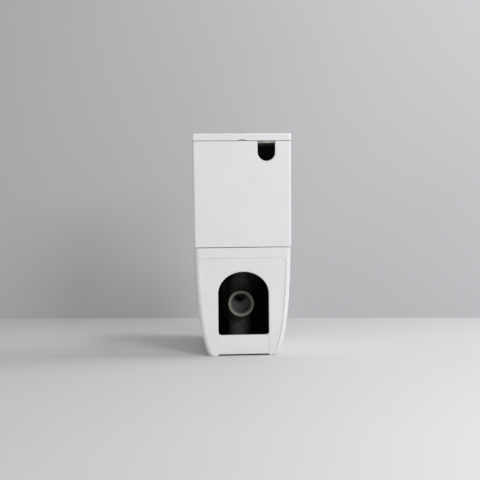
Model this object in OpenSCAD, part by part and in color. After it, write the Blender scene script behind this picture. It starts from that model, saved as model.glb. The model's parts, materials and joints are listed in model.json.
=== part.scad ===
// Rimless close-coupled toilet with a fully skirted, back-to-wall pan.
// The front faces -Y and the wall is at the +Y side. Z is up from the floor.
// X and Y are measured from the middle of the whole outline.

/* [Overall] */
// Depth from the wall to the front of the seat
total_d = 650; // [620:5:690]
// Height of the pan's deck above the floor
pan_h = 410; // [400:1:430]

/* [Pan skirt] */
// Width of the deck
pan_w = 365; // [362:1:368]
// How far inside the deck's edge the side curve aims in its upper part
belly_in = 2.5; // [1.5:0.5:6]
// Height of that upper aim
belly_z = 250; // [230:5:270]
// How far inside the deck's edge the side curve aims near the floor
ankle_in = 15.5; // [13:0.5:20]
// Height of that lower aim
ankle_z = 60; // [50:1:75]
// How far the foot stays inside the deck's edge on the floor
foot_in = 52; // [48:0.5:57]
// How far the skirt's front stays behind the seat's front
seat_overhang = 5; // [3:1:12]
// Setback of the front curve's upper aim
belly_set = 14; // [8:1:24]
// Setback of the front curve's lower aim
ankle_set = 96; // [86:1:106]
// Setback of the front at the floor
foot_set = 118; // [106:1:130]
// Length of the rounded nose of the pan
nose_l = 215; // [205:5:230]
// Radius of the upright rear corners
rear_r = 20; // [12:1:24]
// Radius along the top edge
edge_r = 5; // [3:1:7]
// Wall of the skirt
skirt_t = 12; // [10:0.5:13]
// Wall of the rear face
rear_t = 16; // [14:0.5:20]
// Thickness of the deck
deck_t = 14; // [12:0.5:18]

/* [Rear face] */
// Width of the proud band around the rear panel
band_w = 19; // [15:1:22]
// Height of the band under the deck
band_top_h = 40; // [34:1:48]
// Depth of the panel behind the band
panel_depth = 4.5; // [2:0.5:6]
// Radius of the panel's upper corners
panel_r = 18; // [10:1:20]
// Width of the arched opening
arch_w = 192; // [180:1:196]
// Height of the top of the arch above the floor
arch_top = 318; // [305:1:322]
// Height of the opening's sill
arch_sill = 79; // [66:0.5:90]
// Height of the curved part of the arch
arch_rise = 84; // [76:1:92]
// Radius of the opening's lower corners
arch_r = 11; // [6:1:16]
// Extra depth of the strip under the opening
strip_depth = 2; // [1:0.5:3]
// Gap between that strip and the floor
floor_gap = 5.5; // [5:0.5:10]

/* [Bowl] */
// Width of the bowl's mouth
mouth_w = 280; // [264:1:286]
// Rim between the pan's front and the mouth
rim_front = 40; // [36:1:50]
// Deck between the mouth and the hinge axis
hinge_land = 33; // [28:1:45]
// Width of the bowl at the water line
water_w = 120; // [108:1:132]
// Width of the well's floor
well_w = 84; // [76:1:92]
// Height of the water line
water_z = 215; // [208:1:224]
// Height of the well's floor
well_z = 106; // [102:1:112]
// Distance from the mouth's rear to the well's rear
well_back = 47; // [44:1:54]
// Length of the bowl at the water line
water_l = 150; // [140:1:160]
// Wall of the bowl
bowl_t = 11; // [9:0.5:12]

/* [Trapway and outlet] */
// Outer diameter of the outlet spigot
spigot_d = 102; // [98:1:110]
// Bore of the outlet spigot
spigot_bore = 78; // [74:1:86]
// Height of the outlet's centre
outlet_z = 185; // [176:1:192]
// Distance from the wall to the spigot's end
spigot_setback = 140; // [134:1:150]
// Straight length of the spigot
spigot_l = 45; // [38:1:48]
// Bore of the trap
trap_bore = 56; // [52:1:60]
// Wall of the trap
trap_t = 10; // [8:0.5:11]
// Height of the water seal
seal_h = 50; // [46:1:56]
// Diameter of the upright column that carries the trap
column_d = 88; // [80:1:94]

/* [Flush way] */
// Outer width of the flush duct
duct_w = 104; // [96:1:110]
// Wall of the flush duct
duct_t = 8; // [7:0.5:10]
// Depth of the duct's underside below the deck's face
duct_drop = 80; // [76:1:84]
// Diameter of the recess for the gasket
recess_d = 120; // [118:1:124]
// Extra thickness of the deck under the recess
boss_t = 20; // [16:1:22]
// Diameter of the water inlet in the deck
inlet_d = 92; // [90:1:96]
// Height of the outlet slot into the bowl
slot_h = 18; // [14:1:22]
// Width of the outlet slot into the bowl
slot_w = 76; // [60:1:84]

/* [Cistern] */
// Width at the top
cistern_w = 372; // [368:1:374]
// How much narrower the cistern is at the bottom
cistern_taper = 5; // [4:1:10]
// Depth at the top
cistern_d = 172; // [168:1:176]
// How much less deep the cistern is at the bottom
cistern_lean = 12; // [6:1:16]
// Height of the cistern without its lid
cistern_h = 400; // [396:1:415]
// Gap between cistern and pan, held by the gasket
cistern_gap = 2; // [1.5:0.25:3]
// Wall of the cistern
cistern_t = 9; // [8:0.5:10]
// Floor of the cistern
cistern_floor = 12; // [10:0.5:14]
// Radius of the front upright edges
cistern_front_r = 24; // [18:1:28]
// Radius of the rear upright edges
cistern_rear_r = 9; // [6:1:12]
// Width of the service notch in the rear wall
notch_w = 66; // [60:1:70]
// Depth of the service notch
notch_h = 75; // [68:1:80]
// Distance of the notch from the middle
notch_x = 92; // [84:1:98]

/* [Cistern lid] */
// Height of the lid
lid_h = 29; // [26:1:32]
// Overhang of the lid at the sides
lid_side = 1.5; // [1:0.25:3]
// Overhang of the lid at the front
lid_front = 3; // [2:0.5:5]
// Thickness of the lid's top
lid_t = 14; // [12:0.5:16]
// Depth of the lip inside the cistern
lip_h = 7; // [5:0.5:9]
// Thickness of the lip
lip_t = 7; // [6:0.5:9]
// Width of the grip scoop under the rear edge
scoop_w = 36; // [30:1:42]
// Height of the grip scoop
scoop_h = 6; // [4:0.5:7]
// Radius of the lid's top edge
lid_edge = 4; // [2:0.5:6]

/* [Seat] */
// How far the seat ring stays inside the deck's edge at each side
seat_side = 2.5; // [0.5:0.5:5]
// Thickness of the seat ring
ring_t = 18; // [16:0.5:20]
// Width of the opening in the ring
hole_w = 226; // [214:1:240]
// Width of the ring at its rear
ring_rear = 54; // [44:1:60]
// Width of the ring at its front
ring_nose = 62; // [56:1:68]
// Thickness of the cover at its edge
cover_t = 12; // [10:0.5:14]
// Crown of the cover in its middle
cover_crown = 5; // [3:0.5:7]
// Gap between ring and deck, taken up by the buffers
ring_gap = 6; // [5:0.5:8]
// Gap between cover and ring, taken up by the buffers
cover_gap = 3; // [2.5:0.25:4]
// Distance of each hinge post from the middle
hinge_x = 77.5; // [70:0.5:82]
// Distance from the cistern's front to the hinge axis
hinge_set = 55; // [52:1:58]
// Height of the hinge axis above the deck
hinge_h = 14; // [13:0.5:15]
// Diameter of the hinge post and knuckles
post_d = 21; // [19:0.5:22]
// Diameter of the hinge pin
pin_d = 10; // [8:0.5:11]

/* [Cistern bolts] */
// Diameter of the cistern bolts
bolt_d = 8; // [7:0.5:9]
// Distance of each cistern bolt from the middle
bolt_x = 92; // [90:1:96]

/* [Fill valve] */
// How far the fill valve stands inside the middle between the bolt's seal and the wall
fill_set = 1; // [0:0.5:2]
// Outer diameter of the fill valve's threaded tail
tail_d = 20.9; // [20:0.1:22]
// Length of that tail below the cistern's floor
tail_l = 45; // [38:1:50]
// Height of the fill valve inside the cistern
fill_h = 300; // [285:5:320]
// Diameter of the float cup
float_d = 48; // [44:1:50]
// Height of the float cup
float_h = 78; // [68:1:84]
// Travel of the float
float_travel = 25; // [20:1:28]

/* [Flush valve] */
// Outer diameter of the flush valve's threaded tail
valve_tail_d = 62; // [60:0.5:63]
// Height of the flush valve's tower above the cistern's floor
tower_h = 266; // [255:1:275]
// Outer diameter of the tower
tower_d = 72; // [70:1:74]
// Diameter of the overflow tube
overflow_d = 32; // [30:1:34]
// Lift of the overflow tube
lift = 20; // [16:1:22]
// Height of the paddle pivots above the tower
paddle_h = 45; // [43:1:50]

/* [Flush button] */
// Diameter of the button's flange on the lid
bezel_d = 56; // [54:1:60]
// Height of the flange
bezel_h = 4; // [3:0.5:5]
// Diameter of the button pair
button_d = 46; // [44:1:47]
// Rise of the domed button above the flange
dome_h = 7; // [6:0.5:8]
// Travel of each button
press = 8; // [6:0.5:9]

/* [Floor fixings] */
// Distance of each floor hole from the skirt's inner face
bracket_hole_in = 18; // [17:0.5:20]
// Height of the side screws
screw_z = 35; // [32:1:38]
// Radius of the bracket's floor hole
floor_hole_r = 3.5; // [3:0.25:4]

/* [Fits] */
// Radial clearance of a running shaft
run_fit = 0.05; // [0.02:0.01:0.09]
// Gap between pieces that move against each other
move_gap = 0.3; // [0.3:0.05:0.6]
// Radial clearance of a bolt in its hole
bolt_fit = 1.5; // [1:0.25:2]

/* [Hidden] */

$fn = 64;
// Colours as the photo shows them
white = [0.93, 0.93, 0.94];
dark = [0.16, 0.16, 0.17];
metal = [0.78, 0.79, 0.81];
plastic_grey = [0.62, 0.64, 0.66];
plastic_blue = [0.30, 0.45, 0.70];
// A cut runs this far past a face
over = 1;

// Main places
wall_y = total_d / 2;
seat_front = -total_d / 2;
pan_front = seat_front + seat_overhang;
nose_y = pan_front + nose_l;
deck_low = pan_h - deck_t;
cistern_z = pan_h + cistern_gap;
cistern_top = cistern_z + cistern_h;
tank_floor = cistern_z + cistern_floor;
lid_top = cistern_top + lid_h;
cistern_d_low = cistern_d - cistern_lean;
mid_y = wall_y - cistern_d_low / 2;
hinge_y = wall_y - cistern_d - hinge_set;
hinge_z = pan_h + hinge_h;
spigot_y = wall_y - spigot_setback;

function bezier(a, b, c, d, t) =
    a * pow(1 - t, 3) + 3 * b * t * pow(1 - t, 2) + 3 * c * t * t * (1 - t) + d * pow(t, 3);

// Points of an arc in a plane, with its ends
function arc(x, y, r, a0, a1, steps) =
    [for (i = [0:steps]) let (a = a0 + (a1 - a0) * i / steps) [x + r * cos(a), y + r * sin(a)]];

// Closed skin over rings of equal point counts, each anticlockwise from above, lowest first
module loft(rings) {
    n = len(rings[0]);
    m = len(rings);
    sides = [for (j = [0:m - 2], i = [0:n - 1])
        let (a = j * n + i, b = j * n + (i + 1) % n, c = b + n, d = a + n)
        each [[a, c, b], [a, d, c]]];
    base = [for (i = [0:n - 1]) i];
    cap = [for (i = [n - 1:-1:0]) (m - 1) * n + i];
    polyhedron([for (r = rings) each r], concat([base], sides, [cap]), convexity = 10);
}

// Rounded rectangle, front corners at low Y
module plan(x, y0, y1, front_r, rear_r, steps = 8) {
    polygon(concat(
        arc(x - rear_r, y1 - rear_r, rear_r, 0, 90, steps),
        arc(-x + rear_r, y1 - rear_r, rear_r, 90, 180, steps),
        arc(-x + front_r, y0 + front_r, front_r, 180, 270, steps),
        arc(x - front_r, y0 + front_r, front_r, 270, 360, steps)));
}

// Upright tube
module tube(r, bore_r, z, h) {
    translate([0, 0, z])
        difference() {
            cylinder(r = r, h = h);
            translate([0, 0, -over])
                cylinder(r = bore_r, h = h + 2 * over);
        }
}

// Tube along X between two places
module bar_x(r, x0, x1) {
    translate([x0, 0, 0])
        rotate([0, 90, 0])
            cylinder(r = r, h = x1 - x0);
}

// The pair at both sides of the middle
module both() {
    for (side = [-1, 1])
        mirror([side < 0 ? 1 : 0, 0, 0])
            children();
}

// Skirt of the pan
nose_power = 2.2;
nose_steps = 24;
corner_steps = 4;
skirt_steps = 11;
function squash(v) = sign(v) * pow(abs(v), 2 / nose_power);
function skirt_ring(w, front, back, r, z) = concat(
    [for (p = arc(w - r, back - r, r, 0, 90, corner_steps)) [p[0], p[1], z]],
    [for (p = arc(-w + r, back - r, r, 90, 180, corner_steps)) [p[0], p[1], z]],
    [for (i = [0:nose_steps]) let (a = 180 + 180 * i / nose_steps)
        [w * squash(cos(a)), nose_y + (nose_y - front) * squash(sin(a)), z]]);
function skirt_z(t) = bezier(0, ankle_z, belly_z, pan_h - edge_r, t);
function skirt_w(t) = pan_w / 2 - bezier(foot_in, ankle_in, belly_in, 0, t);
function skirt_front(t) = pan_front + bezier(foot_set, ankle_set, belly_set, 0, t);
// Share of the curve at which the skirt reaches a height, halved down to a thousandth
function skirt_t_at(z, low = 0, high = 1, n = 12) =
    n == 0 ? (low + high) / 2
    : skirt_z((low + high) / 2) < z
        ? skirt_t_at(z, (low + high) / 2, high, n - 1)
        : skirt_t_at(z, low, (low + high) / 2, n - 1);

module skirt_solid() {
    loft(concat(
        [for (i = [0:skirt_steps]) let (t = i / skirt_steps)
            skirt_ring(skirt_w(t), skirt_front(t), wall_y, rear_r, skirt_z(t))],
        [skirt_ring(pan_w / 2 - edge_r * 0.3, pan_front + edge_r * 0.3, wall_y, rear_r,
            pan_h - edge_r * 0.3)],
        [skirt_ring(pan_w / 2 - edge_r, pan_front + edge_r, wall_y, rear_r, pan_h)]));
}

module skirt_hollow() {
    top_t = skirt_t_at(deck_low);
    function ring(t, z) = skirt_ring(skirt_w(t) - skirt_t, skirt_front(t) + skirt_t,
        wall_y - rear_t, rear_r - skirt_t / 2, z);
    loft(concat(
        [ring(0, -over)],
        [for (i = [0:skirt_steps]) let (t = top_t * i / skirt_steps) ring(t, skirt_z(t))],
        [ring(top_t, deck_low)]));
}

// Outline of the rear panel, followed from the floor to its rounded upper corners
module panel_outline(inset) {
    top = pan_h - band_top_h;
    top_t = skirt_t_at(top - panel_r);
    side = [for (i = [0:skirt_steps - 1]) let (t = top_t * i / skirt_steps)
        [skirt_w(t) - inset, skirt_z(t) - (i == 0 ? over : 0)]];
    x = skirt_w(top_t) - inset;
    polygon(concat(
        side,
        arc(x - panel_r, top - panel_r, panel_r, 0, 90, corner_steps),
        arc(-x + panel_r, top - panel_r, panel_r, 90, 180, corner_steps),
        [for (i = [skirt_steps - 1:-1:0]) [-side[i][0], side[i][1]]]));
}

module arch_outline() {
    spring = arch_top - arch_rise;
    polygon(concat(
        arc(-arch_w / 2 + arch_r, arch_sill + arch_r, arch_r, 180, 270, corner_steps),
        arc(arch_w / 2 - arch_r, arch_sill + arch_r, arch_r, 270, 360, corner_steps),
        [for (i = [0:24]) let (a = 180 * i / 24)
            [arch_w / 2 * cos(a), spring + arch_rise * sin(a)]]));
}

// Cuts an upright outline into the rear face, this deep
module rear_cut(depth) {
    translate([0, wall_y + over, 0])
        rotate([90, 0, 0])
            linear_extrude(depth + over)
                children();
}

// Bowl: rings from the well's floor up to the mouth
bowl_steps = 6;
mouth_front = pan_front + rim_front;
mouth_back = hinge_y - hinge_land;
well_rear = mouth_back - well_back;
well_front = well_rear - water_l;
function bowl_ring(w, front, back, yc, z) =
    [for (i = [0:35]) let (a = 10 * i)
        [w * cos(a), yc + (sin(a) > 0 ? back - yc : yc - front) * sin(a), z]];
// How far the basin's curves pull out above the water, in width, length and middle
pull_w = 80;
pull_l = 75;
pull_mid = 60;
function bowl_rings(grow) = concat(
    [for (i = [0:3]) let (t = i / 4) bowl_ring(
        bezier(well_w, well_w + 10, water_w - 8, water_w, t) / 2 + grow,
        bezier(well_front + 24, well_front + 16, well_front + 4, well_front, t) - grow,
        well_rear + grow,
        (well_front + well_rear) / 2,
        bezier(well_z - grow, well_z + 24, water_z - 35, water_z, t))],
    [for (i = [0:bowl_steps]) let (t = i / bowl_steps) bowl_ring(
        bezier(water_w, water_w + pull_w, mouth_w, mouth_w, t) / 2 + grow,
        bezier(well_front, well_front - pull_l, mouth_front + 4, mouth_front, t) - grow,
        bezier(well_rear, well_rear + 8, mouth_back - 2, mouth_back, t) + grow,
        bezier(well_front + well_rear, well_front + well_rear - pull_mid, 2 * nose_y, 2 * nose_y, t) / 2,
        bezier(water_z, water_z + 47, pan_h - 60, pan_h + over, t))]);

module bowl_inner() {
    loft(bowl_rings(0));
}

module bowl_outer() {
    intersection() {
        loft(bowl_rings(bowl_t));
        translate([-mouth_w, pan_front, 0])
            cube([2 * mouth_w, total_d, deck_low]);
    }
}

// Trap: an inclined leg up to the weir, and a leg down to the outlet chamber
weir_run = 72;
trap_in = [well_rear - 4, water_z - seal_h - trap_bore / 2];
weir = [well_rear + weir_run, water_z + trap_bore / 2];
trap_r = trap_bore / 2 + trap_t;
trap_way = (weir - trap_in) / norm(weir - trap_in);
// The chamber's dome keeps this far behind the spigot, clear of a connector
chamber_run = 20;
chamber_y = spigot_y - spigot_l - chamber_run;
chamber_back = 18;
// Each elbow swells a little past the legs that meet in it
elbow_swell = 2;
column_y = spigot_y - spigot_l - column_d / 2 - 5;
column_foot = 10;
column_top = weir[1] + trap_r + elbow_swell;
neck_r = column_d / 2 - 10;
neck_step = 1;
neck_y = column_y + 8;
module leg(from, to, r) {
    run = to - from;
    translate([0, from[0], from[1]])
        rotate([-atan2(run[0], run[1]), 0, 0])
            cylinder(r = r, h = norm(run));
}
// The water way from the well over the weir and out through the spigot
module trap_passage() {
    r = trap_bore / 2;
    drum_r = r + elbow_swell / 2;
    leg(trap_in, weir, r);
    translate([0, weir[0], weir[1]])
        bar_x(drum_r, -drum_r, drum_r);
    leg(weir, [chamber_y, outlet_z], r);
    translate([0, chamber_y - chamber_back, outlet_z])
        rotate([-90, 0, 0])
            cylinder(r = spigot_bore / 2, h = spigot_y - chamber_y + chamber_back + over);
}

// Flush duct under the deck
duct_z = pan_h - duct_drop;
duct_front = mouth_back - 30;
duct_back = mid_y + recess_d / 2 + 6;
slot_z = duct_z + duct_t + 4;

module pan() {
    color(white)
    difference() {
        union() {
            difference() {
                skirt_solid();
                skirt_hollow();
            }
            difference() {
                union() {
                    translate([-duct_w / 2, duct_front, duct_z])
                        cube([duct_w, duct_back - duct_front, deck_low - duct_z + over]);
                    translate([0, mid_y, deck_low - boss_t])
                        cylinder(r = recess_d / 2 + 8, h = boss_t + over);
                }
                bowl_outer();
            }
        }
        // the mouth of the bowl
        bowl_inner();
        // the water way inside the duct
        difference() {
            translate([-duct_w / 2 + duct_t, duct_front - over, duct_z + duct_t])
                cube([duct_w - 2 * duct_t, duct_back - duct_front - duct_t + over,
                    deck_low - boss_t - duct_z - duct_t]);
            bowl_outer();
        }
        // recess for the gasket and inlet
        translate([0, mid_y, deck_low])
            cylinder(r = recess_d / 2, h = deck_t + over);
        translate([0, mid_y, deck_low - boss_t - over])
            cylinder(r = inlet_d / 2, h = boss_t + 2 * over);
        // holes for the cistern bolts, the fill valve and the hinges
        both()
            translate([bolt_x, mid_y, deck_low - over])
                cylinder(r = bolt_d / 2 + bolt_fit, h = deck_t + 2 * over);
        translate([fill_x, mid_y, deck_low - over])
            cylinder(r = fill_nut_r + 5, h = deck_t + 2 * over);
        both()
            translate([hinge_x, hinge_y, deck_low - over])
                cylinder(r = hinge_bolt_r + bolt_fit, h = deck_t + 2 * over);
        // rear panel, strip, arch and the gap over the floor
        rear_cut(panel_depth)
            panel_outline(band_w);
        rear_cut(panel_depth + strip_depth)
            translate([-arch_w / 2, -over])
                square([arch_w, arch_sill + over]);
        rear_cut(rear_t + over)
            arch_outline();
        rear_cut(rear_t + over)
            translate([-arch_w / 2, -over])
                square([arch_w, floor_gap + over]);
        // side screws
        both()
            bracket_screw_hole();
    }
}

// Column from the floor to the duct, narrower over the weir and hollow under the outlet
module trap_column() {
    difference() {
        union() {
            translate([0, column_y, column_foot])
                cylinder(r = column_d / 2, h = column_top - column_foot);
            translate([0, neck_y, column_top - over])
                cylinder(r = neck_r, h = duct_z - column_top + over);
        }
        translate([0, column_y, -over])
            cylinder(r = column_d / 2 - trap_t, h = outlet_z - spigot_d / 2 - 14 + over);
        translate([0, neck_y, column_top + 6])
            cylinder(r = neck_r - trap_t, h = duct_z);
    }
}

// Basin, open at the trap's mouth and at the slot of the flush duct
module bowl() {
    color(white)
    difference() {
        bowl_outer();
        bowl_inner();
        trap_passage();
        translate([-slot_w / 2, mouth_back - 40, slot_z])
            cube([slot_w, 60, slot_h]);
    }
}

// Trapway, fired onto the outside of the basin
module trapway() {
    color(white)
    difference() {
        union() {
            leg(trap_in - trap_way * trap_t, weir, trap_r);
            translate([0, weir[0], weir[1]])
                sphere(r = trap_r + elbow_swell);
            leg(weir, [chamber_y, outlet_z], trap_r);
            translate([0, chamber_y, outlet_z])
                sphere(r = spigot_d / 2 + elbow_swell / 2);
            // the spigot, and behind it a neck for the lip of the connector
            translate([0, chamber_y, outlet_z])
                rotate([-90, 0, 0])
                    cylinder(r = spigot_d / 2 - neck_step, h = spigot_y - chamber_y - over);
            translate([0, spigot_y - spigot_l, outlet_z])
                rotate([-90, 0, 0])
                    cylinder(r = spigot_d / 2, h = spigot_l);
            trap_column();
        }
        bowl_outer();
        trap_passage();
    }
}

// Cistern
module tank_body(inset, z0, z1) {
    x_low = (cistern_w - cistern_taper) / 2 - inset;
    x_top = cistern_w / 2 - inset;
    y1 = wall_y - inset;
    fr = cistern_front_r - inset;
    rr = max(cistern_rear_r - inset, 2);
    hull() {
        translate([0, 0, z0])
            linear_extrude(1)
                plan(x_low, wall_y - cistern_d_low + inset, y1, fr, rr, 6);
        translate([0, 0, z1 - 1])
            linear_extrude(1)
                plan(x_top, wall_y - cistern_d + inset, y1, fr, rr, 6);
    }
}

module cistern() {
    color(white)
    difference() {
        tank_body(0, cistern_z, cistern_top);
        tank_body(cistern_t, tank_floor, cistern_top + over);
        // service notch in the rear wall
        translate([-notch_x, wall_y + over, cistern_top - notch_h + notch_w / 2])
            rotate([90, 0, 0]) {
                cylinder(r = notch_w / 2, h = cistern_t + 2 * over);
                translate([-notch_w / 2, 0, 0])
                    cube([notch_w, notch_h, cistern_t + 2 * over]);
            }
        translate([0, mid_y, cistern_z - over])
            cylinder(r = valve_tail_d / 2 + 1, h = cistern_floor + 2 * over);
        translate([fill_x, mid_y, cistern_z - over])
            cylinder(r = tail_d / 2 + 0.8, h = cistern_floor + 2 * over);
        both()
            translate([bolt_x, mid_y, cistern_z - over])
                cylinder(r = bolt_d / 2 + bolt_fit, h = cistern_floor + 2 * over);
    }
}

// Lid
lid_x = cistern_w / 2 + lid_side;
lid_y0 = wall_y - cistern_d - lid_front;
lip_gap = 1.5;
lip_inset = cistern_t + lip_gap;
module cistern_lid() {
    color(white)
    difference() {
        union() {
            translate([0, 0, cistern_top])
                linear_extrude(lid_h - lid_edge)
                    plan(lid_x, lid_y0, wall_y, cistern_front_r + 2, cistern_rear_r);
            hull() {
                translate([0, 0, lid_top - lid_edge])
                    linear_extrude(0.1)
                        plan(lid_x, lid_y0, wall_y, cistern_front_r + 2, cistern_rear_r);
                translate([0, 0, lid_top - 0.3 * lid_edge])
                    linear_extrude(0.1)
                        plan(lid_x - 0.3 * lid_edge, lid_y0 + 0.3 * lid_edge,
                            wall_y - 0.3 * lid_edge, cistern_front_r, cistern_rear_r);
                translate([0, 0, lid_top - 0.1])
                    linear_extrude(0.1)
                        plan(lid_x - lid_edge, lid_y0 + lid_edge, wall_y - lid_edge,
                            cistern_front_r, cistern_rear_r);
            }
            translate([0, 0, cistern_top - lip_h])
                linear_extrude(lip_h + over)
                    plan(cistern_w / 2 - lip_inset, wall_y - cistern_d + lip_inset,
                        wall_y - lip_inset, cistern_front_r - lip_inset, 3);
        }
        translate([0, 0, cistern_top - lip_h - over])
            linear_extrude(lid_h - lid_t + lip_h + over)
                plan(cistern_w / 2 - lip_inset - lip_t, wall_y - cistern_d + lip_inset + lip_t,
                    wall_y - lip_inset - lip_t, cistern_front_r - lip_inset, 3);
        translate([0, mid_y, cistern_top])
            cylinder(r = barrel_r + 1, h = lid_h + over);
        // grip scoop, an arc cut across the rear edge
        translate([0, wall_y + over, cistern_top + scoop_h - scoop_r])
            rotate([90, 0, 0])
                cylinder(r = scoop_r, h = cistern_t + over);
    }
}
scoop_r = (pow(scoop_w / 2, 2) + pow(scoop_h, 2)) / (2 * scoop_h);

module doughnut_gasket() {
    color(dark)
        translate([0, mid_y, 0])
            tube(recess_d / 2 - 2, inlet_d / 2 - 2, deck_low, cistern_z - deck_low);
}

// Cistern bolts: head and seal inside the cistern, washer and wing nut under the deck
bolt_head_r = bolt_d * 0.9;
bolt_head_h = 5;
seal_r = bolt_d / 2 + 9;
seal_t = 4;
washer_t = 2;
wing_h = 12;
module cistern_bolts() {
    color("goldenrod")
        both()
            translate([bolt_x, mid_y, 0]) {
                translate([0, 0, tank_floor + seal_t])
                    cylinder(r = bolt_head_r, h = bolt_head_h);
                translate([0, 0, deck_low - washer_t - wing_h - 4])
                    cylinder(r = bolt_d / 2, h = tank_floor + seal_t - deck_low + washer_t + wing_h + 4);
            }
}

module cistern_bolt_seals() {
    color(dark)
        both()
            translate([bolt_x, mid_y, 0])
                tube(seal_r, bolt_d / 2 + run_fit, tank_floor, seal_t);
}

module cistern_bolt_washers() {
    color(metal)
        both()
            translate([bolt_x, mid_y, 0])
                tube(seal_r - 1, bolt_d / 2 + run_fit, deck_low - washer_t, washer_t);
}

module cistern_wing_nuts() {
    color(metal)
        both()
            translate([bolt_x, mid_y, deck_low - washer_t - wing_h])
                difference() {
                    union() {
                        cylinder(r = bolt_d / 2 + 4, h = wing_h);
                        for (side = [-1, 1])
                            translate([-1.5, side * (bolt_d / 2 + 8) - 5, 2])
                                cube([3, 10, wing_h - 4]);
                    }
                    translate([0, 0, -over])
                        cylinder(r = bolt_d / 2 + run_fit, h = wing_h + 2 * over);
                }
}

// Flush button in the lid
barrel_r = button_d / 2 + 1.2;
barrel_t = 2;
rod_x = 14;
rod_r = 3;
barrel_low = lid_top - lid_t - 26;
web_t = 4;
flange_top = lid_top + bezel_h;
button_low = flange_top - 9;
paddle_z = tank_floor + tower_h + paddle_h;
module at_button() {
    translate([0, mid_y, 0])
        children();
}

module button_bezel() {
    color(metal)
        at_button()
            difference() {
                union() {
                    translate([0, 0, lid_top])
                        cylinder(r1 = bezel_d / 2, r2 = bezel_d / 2 - 1.5, h = bezel_h);
                    translate([0, 0, barrel_low])
                        cylinder(r = barrel_r, h = lid_top - barrel_low + over);
                }
                translate([0, 0, barrel_low + web_t])
                    cylinder(r = button_d / 2, h = flange_top);
                for (side = [-1, 1])
                    translate([side * rod_x, 0, barrel_low - over])
                        cylinder(r = rod_r + move_gap, h = web_t + 2 * over);
            }
}

nut_h = 12;
nut_rim = 8;
rib_w = 6;
rib_out = 3;
module button_nut() {
    color(plastic_grey)
        at_button()
            translate([0, 0, lid_top - lid_t - nut_h])
                difference() {
                    union() {
                        cylinder(r = barrel_r + nut_rim, h = nut_h);
                        for (i = [0:5])
                            rotate([0, 0, 60 * i])
                                translate([barrel_r + nut_rim / 2, -rib_w / 2, 0])
                                    cube([nut_rim / 2 + rib_out, rib_w, 0.75 * nut_h]);
                    }
                    translate([0, 0, -over])
                        cylinder(r = barrel_r + run_fit, h = nut_h + 2 * over);
                }
}

// Domed disc of the pair, cut into two presses along a line off the middle
split_x = 6;
dome_r = (pow(button_d / 2, 2) + pow(dome_h, 2)) / (2 * dome_h);
module button_disc() {
    r = button_d / 2 - move_gap;
    translate([0, 0, button_low])
        cylinder(r = r, h = flange_top - button_low);
    intersection() {
        translate([0, 0, flange_top + dome_h - dome_r])
            rotate([90, 0, 0])
                sphere(r = dome_r, $fn = 96);
        translate([0, 0, flange_top - over])
            cylinder(r = r, h = dome_h + over);
    }
}
module push_rod() {
    translate([0, 0, paddle_z + paddle_t / 2 + move_gap])
        cylinder(r = rod_r, h = button_low + over - paddle_z - paddle_t / 2 - move_gap);
}
module full_flush_button() {
    color(metal)
        at_button() {
            intersection() {
                button_disc();
                translate([-button_d, -button_d, 0])
                    cube([button_d + split_x - move_gap, 2 * button_d, lid_top * 2]);
            }
            translate([-rod_x, 0, 0])
                push_rod();
        }
}
module half_flush_button() {
    color(metal)
        at_button() {
            intersection() {
                button_disc();
                translate([split_x + move_gap, -button_d, 0])
                    cube([button_d, 2 * button_d, lid_top * 2]);
            }
            translate([rod_x, 0, 0])
                push_rod();
        }
}

// Compression spring as one tube along a helix
spring_wire = 1;
spring_turns = 5;
module coil_spring(r, z0, z1) {
    steps = spring_turns * 8;
    rise = z1 - z0 - 2 * spring_wire;
    n = 6;
    pts = [for (i = [0:steps]) let (a = 45 * i, z = z0 + spring_wire + rise * i / steps)
        for (j = [0:n - 1]) let (b = 360 * j / n, q = r + spring_wire / 2 * cos(b))
            [q * cos(a), q * sin(a), z + spring_wire / 2 * sin(b)]];
    sides = [for (i = [0:steps - 1], j = [0:n - 1])
        let (a = i * n + j, b = i * n + (j + 1) % n, c = b + n, d = a + n)
        each [[a, b, c], [a, c, d]]];
    polyhedron(pts, concat([[for (j = [n - 1:-1:0]) j]], sides,
        [[for (j = [0:n - 1]) steps * n + j]]), convexity = 10);
}
spring_r = rod_r + 2.4;
module full_flush_spring() {
    color(metal)
        at_button()
            translate([-rod_x, 0, 0])
                coil_spring(spring_r, barrel_low + web_t - spring_wire / 2, button_low + spring_wire / 2);
}
module half_flush_spring() {
    color(metal)
        at_button()
            translate([rod_x, 0, 0])
                coil_spring(spring_r, barrel_low + web_t - spring_wire / 2, button_low + spring_wire / 2);
}

// Flush valve
valve_bore_r = valve_tail_d / 2 - 5;
valve_flange_r = valve_tail_d / 2 + 11;
valve_washer_t = 3;
valve_tail_l = 40;
valve_flange_t = 6;
seat_z = tank_floor + valve_washer_t + valve_flange_t + 4;
tower_top = tank_floor + tower_h;
leg_top = tank_floor + 60;
module flush_valve_body() {
    color([0.9, 0.91, 0.92])
        at_button()
            difference() {
                union() {
                    translate([0, 0, cistern_z - valve_tail_l + cistern_floor])
                        cylinder(r = valve_tail_d / 2, h = valve_tail_l + valve_washer_t + over);
                    translate([0, 0, tank_floor + valve_washer_t])
                        cylinder(r = valve_flange_r, h = valve_flange_t);
                    translate([0, 0, tank_floor + valve_washer_t])
                        cylinder(r = valve_bore_r + 3, h = seat_z - tank_floor - valve_washer_t);
                    for (i = [0:3])
                        rotate([0, 0, 45 + 90 * i])
                            translate([tower_d / 2 - 5, -5, tank_floor + valve_washer_t + over])
                                cube([5, 10, leg_top - tank_floor - valve_washer_t]);
                    tube(tower_d / 2, tower_d / 2 - 3, leg_top, tower_top - leg_top);
                }
                translate([0, 0, 0])
                    cylinder(r = valve_bore_r, h = seat_z + over);
            }
}

module flush_valve_washer() {
    color(dark)
        at_button()
            tube(valve_flange_r - 1, valve_tail_d / 2 + run_fit, tank_floor, valve_washer_t);
}

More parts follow.
